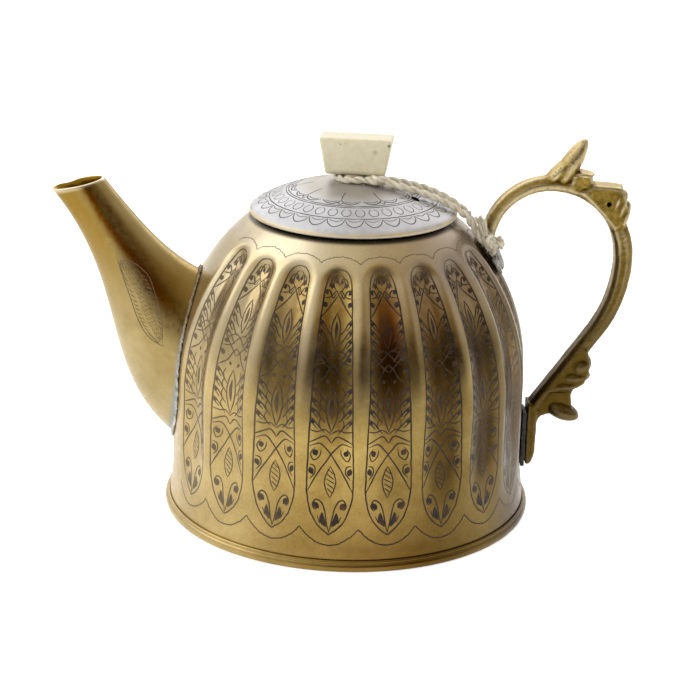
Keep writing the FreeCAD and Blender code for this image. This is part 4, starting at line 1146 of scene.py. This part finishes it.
# Strap. A tongue of brass sheet dipped in solder, sweated low on to the shoulder and bent up off it,
# so that the twine passes under it. The root of the bow stands on its upper end.
STRAP_HALF = 3.2
STRAP_THICKNESS = 1.5
STRAP_ANGLES = (44.5, 30.6)
STRAP_GAPS = (3.2, 0.4)
STRAP_ROUND = 0.74
strap_parts = bmesh.new()
strap_rows = []
for share in steps(0, 1, 40):
    angle = math.radians(STRAP_ANGLES[0] + (STRAP_ANGLES[1] - STRAP_ANGLES[0]) * share)
    gap = STRAP_GAPS[0] + (STRAP_GAPS[1] - STRAP_GAPS[0]) * share
    tip_share = max(0.0, share - STRAP_ROUND) / (1 - STRAP_ROUND)
    blunt = math.sqrt(max(0.03, 1 - tip_share ** 2))
    wide = STRAP_HALF * blunt
    reach = SHOULDER_ARC + gap
    low, high = (
        (SHOULDER_CENTRE + r * math.cos(angle), SHOULDER_BASE + r * math.sin(angle))
        for r in (reach, reach + STRAP_THICKNESS * blunt)
    )
    corners = ((low, -wide), (low, wide), (high, wide), (high, -wide))
    strap_rows.append([(x, y, z) for (x, z), y in corners])
prism(strap_parts, strap_rows)
strap = grown("strap", cast_nodes, {
    "Lump": 0.15 * MM, "Lump Size": 2.5 * MM, "Pit": 0.15 * MM, "Pit Size": 0.9 * MM, "Seed": 8.0,
    "Material": grey_solder,
}, fused("strap", strap_parts, 0.25, 4))
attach(strap, "pot")
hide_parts("handle_lug")

# Lid. A shallow dome of brass sheet tinned white on top, its turned edge rubbed back to brass, with a collar
# soldered under it, a vent drilled through it and rings of scallops, beads and leaves cut into the tin.
LID_RADIUS = 29.7
LID_BOTTOM = 88.0
LID_EDGE = 1.3
LID_EDGE_WIDTH = 1.1
LID_CENTRE = 39.0
LID_ARC = 58.4
LID_CROWN = 5.0
VENT_RADIUS = 1.2
VENT_OUT = 19.1
VENT_BEARING = math.radians(-28.0)


def dome_height(radius, inset=0.0):
    return LID_CENTRE + math.sqrt((LID_ARC - inset) ** 2 - max(radius, LID_CROWN) ** 2)


inner_edge = LID_RADIUS - LID_EDGE_WIDTH
lid_profile = [
    (inner_edge, LID_BOTTOM), (LID_RADIUS - 0.5, LID_BOTTOM), (LID_RADIUS - 0.1, LID_BOTTOM + 0.2),
    (LID_RADIUS, LID_BOTTOM + 0.6), (LID_RADIUS - 0.1, LID_BOTTOM + 1.0),
    (LID_RADIUS - 0.4, LID_BOTTOM + LID_EDGE + 0.05),
]
lid_profile += [(r, dome_height(r)) for r in steps(LID_RADIUS - 0.8, LID_CROWN, 50) + [2.5, 0]]
lid_profile += [(r, dome_height(r, SHEET)) for r in [0, 2.5] + steps(LID_CROWN, inner_edge, 30)]
lid_profile.append((inner_edge, LID_BOTTOM))

# Tin wiped over brass: cool grey-white, dulled and cloudy, with the warm brass showing through where it is thin
tinned_brass, tree, shader, millimetres = new_material("tinned_brass")
measures = dict(add(tree, "SeparateXYZ", millimetres).outputs.items())
out = add(tree, "VectorMath.LENGTH", add(tree, "CombineXYZ", measures["X"], measures["Y"]))
cloud = add(tree, "TexNoise", millimetres, scale=1 / 8.0, detail=6.0, roughness=0.65)
tone = add(tree, "ValToRGB", cloud, ramp=((0.34, "#AFAEAF"), (0.66, "#CBCBCF")))
measures["out"] = out
measures["cloud"] = cloud
measures["cloudy out"] = add(tree, "Math.MULTIPLY_ADD", cloud, 1.2, out)
tone = layered(tree, tone, measures, (
    ("#9C9078", [("out", 13.0, 18.5, 0.9, 0.0), ("cloud",)]),
    ("#D8C79C", [("cloudy out", LID_RADIUS + 0.1, LID_RADIUS + 0.5, 0.0, 1.0),
                 ("Z", LID_BOTTOM + 0.5, LID_BOTTOM + 0.8, 0.4, 1.0)]),
))
rough = add(tree, "MapRange", cloud, 0.3, 0.7, 0.45, 0.62)
ripple = add(tree, "TexNoise", millimetres, scale=1 / 4.0, detail=3.0)
surface = add(tree, "Bump", height=ripple, strength=0.25, distance=0.2 * MM)
fill(tree, shader, {"base color": tone, "metallic": 0.75, "roughness": rough, "normal": surface})

lid = turned_piece("lid_dome", lid_profile, 180, tinned_brass)
vent_place = (VENT_OUT * math.cos(VENT_BEARING), VENT_OUT * math.sin(VENT_BEARING), dome_height(VENT_OUT))
drilled(lid, vent_place, (0, 0, 1), VENT_RADIUS, 20.0)
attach(lid, "lid")
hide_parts("lid")
coat("lid_collar", worn_brass)


def lid_sheet(spot):
    """Angle and radius of a spot of a flat drawing whose X runs round the lid, measured along its circle."""
    return -math.degrees(spot.x / spot.y) * MM, spot.y * MM


def lid_drawing(name, lines, copies, first, tremor=0.4):
    """Lines cut into the tin, repeated round the lid. Each is a list of points and a width."""
    drawing = bmesh.new()
    for points, width in lines:
        cut_line(drawing, points, width, 0.6, lid_sheet)
    sheet_object = new_object(name + "_drawing", drawn_mesh(name, drawing))
    piece = grown(name, wrap_nodes, {
        "Drawing": sheet_object, "Ground": lid, "Copies": copies, "First": first, "Step": 360 / copies,
        "From Above": True, "Tremor": tremor * MM, "Seed": float(copies), "Material": grey_line,
    })
    bpy.data.objects.remove(sheet_object)
    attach(piece, "lid")


# Lines in the tin: cut through to the brass and filled with grey dirt
grey_line, tree, shader, millimetres = new_material("grey_line")
fill(tree, shader, {"base color": "#4C4744", "roughness": 0.7})

LID_LINE = 0.34
RING_ARC = 45


def ring(radius):
    """Eighth of a circle line, as points along it."""
    return [(radius * math.radians(a), radius) for a in steps(0, RING_ARC, 24)]


lid_drawing("lid_rings", [(ring(r), LID_LINE) for r in (24.1, 19.3, 18.6)], 8, 0.0, 0.15)
lid_drawing("lid_scallops", [
    ([(-2.5, 24.6), (-2.0, 26.0), (-0.7, 27.1), (0.7, 27.1), (2.0, 26.0), (2.5, 24.6)], LID_LINE),
    ([(-1.9, 24.7), (-0.6, 25.2), (0.7, 25.2), (1.9, 24.7)], 0.24),
], 30, 4.0)
bead = [(1.3 * math.sin(a), 21.7 - 1.5 * math.cos(a)) for a in steps(0.3, math.tau - 0.2, 14)]
lid_drawing("lid_beads", [(bead, 0.26)], 36, 2.0)
half_leaf = [(0.5, 16.8), (1.7, 17.6), (3.0, 17.9), (4.3, 17.5), (5.4, 16.5)]
leaf_under = [(1.1, 16.5), (2.2, 16.9), (3.4, 17.0), (4.6, 16.6)]
diamond = [(0.0, 18.1), (0.75, 17.1), (0.0, 16.1)]
radial = [(0.0, 16.0), (0.15, 14.0), (-0.1, 11.4)]
leaf_lines = [
    ([(side * x, r) for x, r in points], width)
    for side in (-1, 1) for points, width in ((half_leaf, 0.42), (leaf_under, 0.28), (diamond, LID_LINE))
]
lid_drawing("lid_leaves", leaf_lines + [(radial, LID_LINE)], 9, 295.0)

# Knob. A block sawn from bone, wider at the top and smoothed by hand, on a short round neck. A steel rivet
# through the lid holds it, hammered over a brass washer underneath.
KNOB_BOTTOM = 99.4
KNOB_TOP = 110.0
KNOB_BOTTOM_HALF = (8.5, 3.8)
KNOB_ASIDE = 0.5
KNOB_TOP_HALF = (10.4, 4.6)
KNOB_TURN = math.radians(-9.0)
NECK_RADIUS = 3.6
NECK_SIDES = 32
knob_block = bmesh.new()
corners = []
for (half_x, half_y), z in ((KNOB_BOTTOM_HALF, KNOB_BOTTOM), (KNOB_TOP_HALF, KNOB_TOP)):
    for x, y in ((-1, -1), (1, -1), (1, 1), (-1, 1)):
        corners.append(knob_block.verts.new(Vector((KNOB_ASIDE + x * half_x, y * half_y, z)) * MM))
for face in ((3, 2, 1, 0), (4, 5, 6, 7), (0, 1, 5, 4), (1, 2, 6, 5), (2, 3, 7, 6), (3, 0, 4, 7)):
    knob_block.faces.new([corners[index] for index in face])
bmesh.ops.bevel(knob_block, geom=knob_block.edges[:], offset=0.8 * MM, segments=5, profile=0.5, affect="EDGES")
NECK_SIZES = ((NECK_RADIUS, 97.2), (3.4, 97.9), (3.3, 98.9), (3.5, 99.8), (4.0, 100.8))
turns = [math.tau * index / NECK_SIDES for index in range(NECK_SIDES)]
prism(knob_block, [[(r * math.cos(t), r * math.sin(t), z) for t in turns] for r, z in NECK_SIZES])
bmesh.ops.rotate(knob_block, verts=knob_block.verts, cent=(0, 0, 0), matrix=Matrix.Rotation(KNOB_TURN, 3, "Z"))
knob_mesh = drawn_mesh("bone_knob", knob_block)
knob_mesh.shade_smooth()

# Old bone: cream, waxy, with a fine straight grain, small dark pores and a dark brown painted shade along its bottom
# near the neck
CHIP = (9.2, -5.9, 108.5)
CHIP_SIZE = 0.55
STAIN = (5.4, -5.2, 106.5)
MARK_SIZE = 0.9
old_bone, tree, shader, millimetres = new_material("old_bone")
grain_place = add(tree, "VectorMath.MULTIPLY", millimetres, (0.5, 0.9, 0.6))
grain = add(tree, "TexNoise", grain_place, scale=1.0, detail=5.0, roughness=0.6)
tone = add(tree, "ValToRGB", grain, ramp=((0.30, "#D8CEAC"), (0.62, "#E2DABD")))
height = add(tree, "SeparateXYZ", millimetres).outputs["Z"]
measures = {
    "pores": add(tree, "TexNoise", millimetres, scale=1 / 1.5, detail=2.0),
    "chip": add(tree, "VectorMath.DISTANCE", millimetres, CHIP),
    "stain": add(tree, "VectorMath.DISTANCE", millimetres, STAIN),
    "height": height,
    "out": add(tree, "VectorMath.LENGTH", add(tree, "VectorMath.MULTIPLY", millimetres, (1.0, 1.0, 0.0))),
    "above neck": add(tree, "Math.GREATER_THAN", height, KNOB_BOTTOM - 0.05),
}
tone = layered(tree, tone, measures, (
    ("#7A6A48", [("pores", 0.70, 0.76, 0.0, 0.6)]),
    ("#4A3E26", [("chip", 0.4 * CHIP_SIZE, CHIP_SIZE, 0.85, 0.0)]),
    ("#8C7A45", [("stain", 0.4 * MARK_SIZE, MARK_SIZE, 0.35, 0.0)]),
    # Painted shade under the block, by the neck
    ("#5A4424", [("height", KNOB_BOTTOM - 0.1, KNOB_BOTTOM + 1.6, 0.75, 0.0), ("out", 4.5, 8.0, 1.0, 0.25),
                 ("above neck",)]),
))
scraped = add(tree, "Bump", height=grain, strength=0.12, distance=0.05 * MM)
fill(tree, shader, {
    "base color": tone, "roughness": 0.42, "normal": scraped, "subsurface weight": 0.15,
    "subsurface radius": (0.8 * MM, 0.6 * MM, 0.4 * MM), "subsurface scale": 1.0,
})
knob_mesh.materials.append(old_bone)
knob = new_object("bone_knob", knob_mesh)
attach(knob, "lid")
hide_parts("knob")

# Rivet steel: dull grey, brown in the pores
rivet_steel, tree, shader, millimetres = new_material("rivet_steel")
rust = add(tree, "TexNoise", millimetres, scale=1 / 0.8, detail=4.0)
tone = add(tree, "ValToRGB", rust, ramp=((0.0, "#5B4636"), (0.6, "#9A9894")))
fill(tree, shader, {"base color": tone, "metallic": 1.0, "roughness": 0.45})
coat("knob_pin", rivet_steel)
coat("knob_washer", worn_brass)

# Twine. A beige two-ply cotton string, knotted round the neck of the knob, led over the edge of the lid
# as two strands and hitched to the strap under the handle's root. Its fibres stand off in a fine fuzz.
PLY_RADIUS = 0.57
PLY_OFFSET = 0.51
TWIST_LENGTH = 6.4
FUZZ_LENGTH = 1.3
FUZZ_PER_SQUARE_MM = 1.6

# Spun cotton: matt, pale, with fibres that run round each ply and grey dirt in patches
FIBRE_PITCH = 2.6
FIBRES_ROUND = 9.0
FIBRE_SHAKE = 9.0
cotton_twine, tree, shader, millimetres = new_material("cotton_twine")
along = add(tree, "Attribute", attribute_name="along").outputs["Fac"]
around = add(tree, "Attribute", attribute_name="around").outputs["Fac"]
turns = add(tree, "Math.MULTIPLY", along, 1 / (FIBRE_PITCH * MM))
waves = add(tree, "Math.MULTIPLY", add(tree, "Math.ADD", turns, around), FIBRES_ROUND * math.tau)
frayed = add(tree, "TexNoise", millimetres, scale=2.2, detail=4.0)
fibres = add(tree, "Math.SINE", add(tree, "Math.MULTIPLY_ADD", frayed, FIBRE_SHAKE, waves))
dirt = add(tree, "TexNoise", millimetres, scale=0.35, detail=5.0)
shade = add(tree, "Math.MULTIPLY_ADD", fibres, 0.16, dirt)
tone = add(tree, "ValToRGB", shade, ramp=((0.25, "#D0C4AA"), (0.72, "#FBF3E0")))
ridges = add(tree, "Bump", height=fibres, strength=0.5, distance=0.06 * MM)
fill(tree, shader, {"base color": tone, "roughness": 0.92, "normal": ridges, "sheen weight": 0.25})

tree, given = new_nodes("twisted_twine", {
    "Route": "Geometry", "Ply Radius": "Float", "Ply Offset": "Float", "Twist Length": "Float",
    "Fuzz Length": "Float", "Fuzz Density": "Float", "Seed": "Int", "Material": "Material",
})
fine_line = add(tree, "ResampleCurve", add(tree, "MeshToCurve", given["Route"]), length=0.3 * MM, mode="LENGTH")
travel = add(tree, "SplineParameter").outputs["Length"]
marked_line = add(tree, "StoreNamedAttribute", geometry=fine_line, name="along", value=travel)
share = add(tree, "Math.DIVIDE", travel, given["Twist Length"])
normal = add(tree, "InputNormal")
sideways = add(tree, "VectorMath.CROSS_PRODUCT", add(tree, "InputTangent"), normal)
ply_round = add(tree, "CurvePrimitiveCircle", resolution=8, radius=given["Ply Radius"])
round_share = add(tree, "SplineParameter").outputs["Factor"]
marked_round = add(tree, "StoreNamedAttribute", geometry=ply_round, name="around", value=round_share)
plies = []
for start_turn in (0.0, 0.5):
    angle = add(tree, "Math.MULTIPLY", add(tree, "Math.ADD", share, start_turn), math.tau)
    first = add(tree, "VectorMath.SCALE", normal, add(tree, "Math.COSINE", angle))
    second = add(tree, "VectorMath.SCALE", sideways, add(tree, "Math.SINE", angle))
    lean = add(tree, "VectorMath.ADD", first, second)
    offset = add(tree, "VectorMath.SCALE", lean, given["Ply Offset"])
    ply_line = add(tree, "SetPosition", geometry=marked_line, offset=offset)
    plies.append(add(tree, "CurveToMesh", curve=ply_line, profile_curve=marked_round, fill_caps=True))
both = add(tree, "JoinGeometry", plies)
# Fuzz: short bent hairs that lean every way off the plies
roots = add(tree, "DistributePointsOnFaces", mesh=both, density=given["Fuzz Density"], seed=given["Seed"])
hair_line = add(
    tree, "CurveQuadraticBezier", resolution=3, start=(0, 0, 0), middle=(0, 0, 0.6), end=(0.7, 0, 0.75),
)
hair_round = add(tree, "CurvePrimitiveCircle", resolution=3, radius=0.03)
hair = add(tree, "CurveToMesh", curve=hair_line, profile_curve=hair_round)
most = Vector((1.1, 1.1, math.pi))
spin = add(tree, "RandomValue.FLOAT_VECTOR", min=-most, max=most, seed=given["Seed"])
leaned = add(
    tree, "RotateRotation", roots.outputs["Rotation"], add(tree, "EulerToRotation", spin), rotation_space="LOCAL",
)
reach = add(tree, "RandomValue", min=0.25, max=1.0, seed=given["Seed"])
size = add(tree, "Math.MULTIPLY", reach, given["Fuzz Length"])
fuzz = add(tree, "InstanceOnPoints", points=roots, instance=hair, rotation=leaned, scale=size)
twine_nodes = finished(tree, add(tree, "JoinGeometry", [both, fuzz]), given)


def twine_piece(name, points, seed):
    """Twine along a smooth line led by these points, and the points of that line."""
    curve = bpy.data.curves.new(name + "_route", "CURVE")
    curve.dimensions = "3D"
    spline = curve.splines.new("NURBS")
    spline.points.add(len(points) - 1)
    for control, place in zip(spline.points, points):
        control.co = (*(Vector(place) * MM), 1)
    spline.order_u = 3
    spline.use_endpoint_u = True
    spline.resolution_u = 10
    holder = new_object(name + "_route", curve)
    wire = plain(holder)
    bpy.data.objects.remove(holder)
    path = [tuple(v.co) for v in wire.vertices]
    piece = grown(name, twine_nodes, {
        "Ply Radius": PLY_RADIUS * MM, "Ply Offset": PLY_OFFSET * MM, "Twist Length": TWIST_LENGTH * MM,
        "Fuzz Length": FUZZ_LENGTH * MM, "Fuzz Density": FUZZ_PER_SQUARE_MM / MM ** 2, "Seed": seed,
        "Material": cotton_twine,
    }, wire)
    return piece, path


OVER_LID = (
    (32.2, -6.1, 88.4), (27.4, -6.6, 92.1), (20.4, -7.2, 95.1), (13.4, -7.0, 97.2), (6.6, -5.6, 98.5),
    (2.2, -4.9, 98.4), (-1.8, -4.8, 98.3), (-4.6, -2.2, 98.3), (-4.9, 1.4, 98.4), (-2.9, 4.3, 98.5),
    (0.6, 5.1, 98.5), (3.9, 3.4, 98.5), (5.1, 0.2, 98.5), (5.9, -2.9, 98.6), (8.6, -3.9, 98.5),
    (13.8, -2.2, 97.4), (21.0, -0.5, 95.2), (27.8, -0.6, 92.2), (32.6, -1.8, 88.6),
)
TO_HANDLE = (
    (32.2, -6.1, 88.4), (34.9, -5.8, 83.3), (38.0, -6.1, 80.3), (40.0, -6.2, 78.9), (40.1, -4.6, 77.3),
    (40.2, 0.0, 77.1), (40.2, 4.6, 77.3), (41.8, 5.2, 78.6), (42.8, 4.2, 79.3), (42.9, 0.0, 79.5),
    (42.6, -4.1, 79.2), (41.2, -5.4, 80.0), (38.5, -5.3, 81.3), (34.9, -3.4, 84.3), (32.6, -1.8, 88.6),
)
over_lid, over_lid_path = twine_piece("twine_over_lid", OVER_LID, 3)
to_handle, to_handle_path = twine_piece("twine_to_handle", TO_HANDLE, 4)
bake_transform(over_lid)
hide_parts("tether_front_strand", "tether_back_strand", "tether_loop", "tether_bend")
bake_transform(to_handle)
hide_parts("tether_drop", "tether_hitch")

NECK_KNOT = (
    (9.2, -5.6, 98.5), (7.2, -6.9, 99.2), (5.2, -6.4, 99.3), (4.6, -4.6, 98.5), (5.6, -3.6, 98.0),
    (7.0, -4.6, 98.0), (6.8, -6.4, 98.3), (5.0, -6.9, 98.6), (3.8, -5.6, 98.9),
)
HITCH_KNOT = (
    (39.0, -5.2, 82.6), (38.2, -6.6, 82.4), (38.6, -7.5, 81.0), (39.9, -7.2, 80.1), (40.4, -5.9, 80.5),
    (39.6, -5.3, 81.6), (38.4, -6.2, 81.6), (38.3, -7.2, 80.6), (39.3, -7.4, 79.7),
)
neck_knot = twine_piece("neck_knot", NECK_KNOT, 5)[0]
hitch_knot = twine_piece("hitch_knot", HITCH_KNOT, 6)[0]
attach(neck_knot, "tether_loop")
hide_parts("tether_knot")
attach(hitch_knot, "pot")
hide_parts("tether_hitch_knot")

# Frayed end. The cut end of the cotton twine, held by the hitch alone, stands up out of its knot and opens
# into a tuft of loose fibres, each thick at the root and thin at the tip.
TUFT_FIBRES = 90
TUFT_ROOT = Vector((37.3, -6.8, 83.2))
TUFT_TIP = (35.4, -6.8, 88.4)
ROOT_SPREAD = 0.7
TIP_SPREAD = 1.9
tuft = bmesh.new()
draw = random.Random(11)
for _ in range(TUFT_FIBRES):
    turn = draw.uniform(0, math.tau)
    spread = draw.uniform(0.1, 1.0)
    way = Vector((math.cos(turn), math.sin(turn), 0))
    root = TUFT_ROOT + way * ROOT_SPREAD * spread
    top = TUFT_TIP[2] + draw.uniform(-0.8, 1.0)
    tip = Vector((*TUFT_TIP[:2], top)) + way * TIP_SPREAD * spread
    middle = (root + tip) / 2 + Vector((draw.uniform(-0.5, 0.3), draw.uniform(-0.4, 0.4), 0.5))
    rings = []
    for place, radius in ((root, 0.16), (middle, 0.13), (tip, 0.04)):
        turns = (0, math.tau / 3, 2 * math.tau / 3)
        rings.append([place + Vector((math.cos(t), math.sin(t), 0)) * radius for t in turns])
    prism(tuft, rings)
frayed_mesh = drawn_mesh("frayed_end", tuft)
frayed_mesh.materials.append(cotton_twine)
frayed_end = new_object("frayed_end", frayed_mesh)
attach(frayed_end, "pot")
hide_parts("tether_tail")
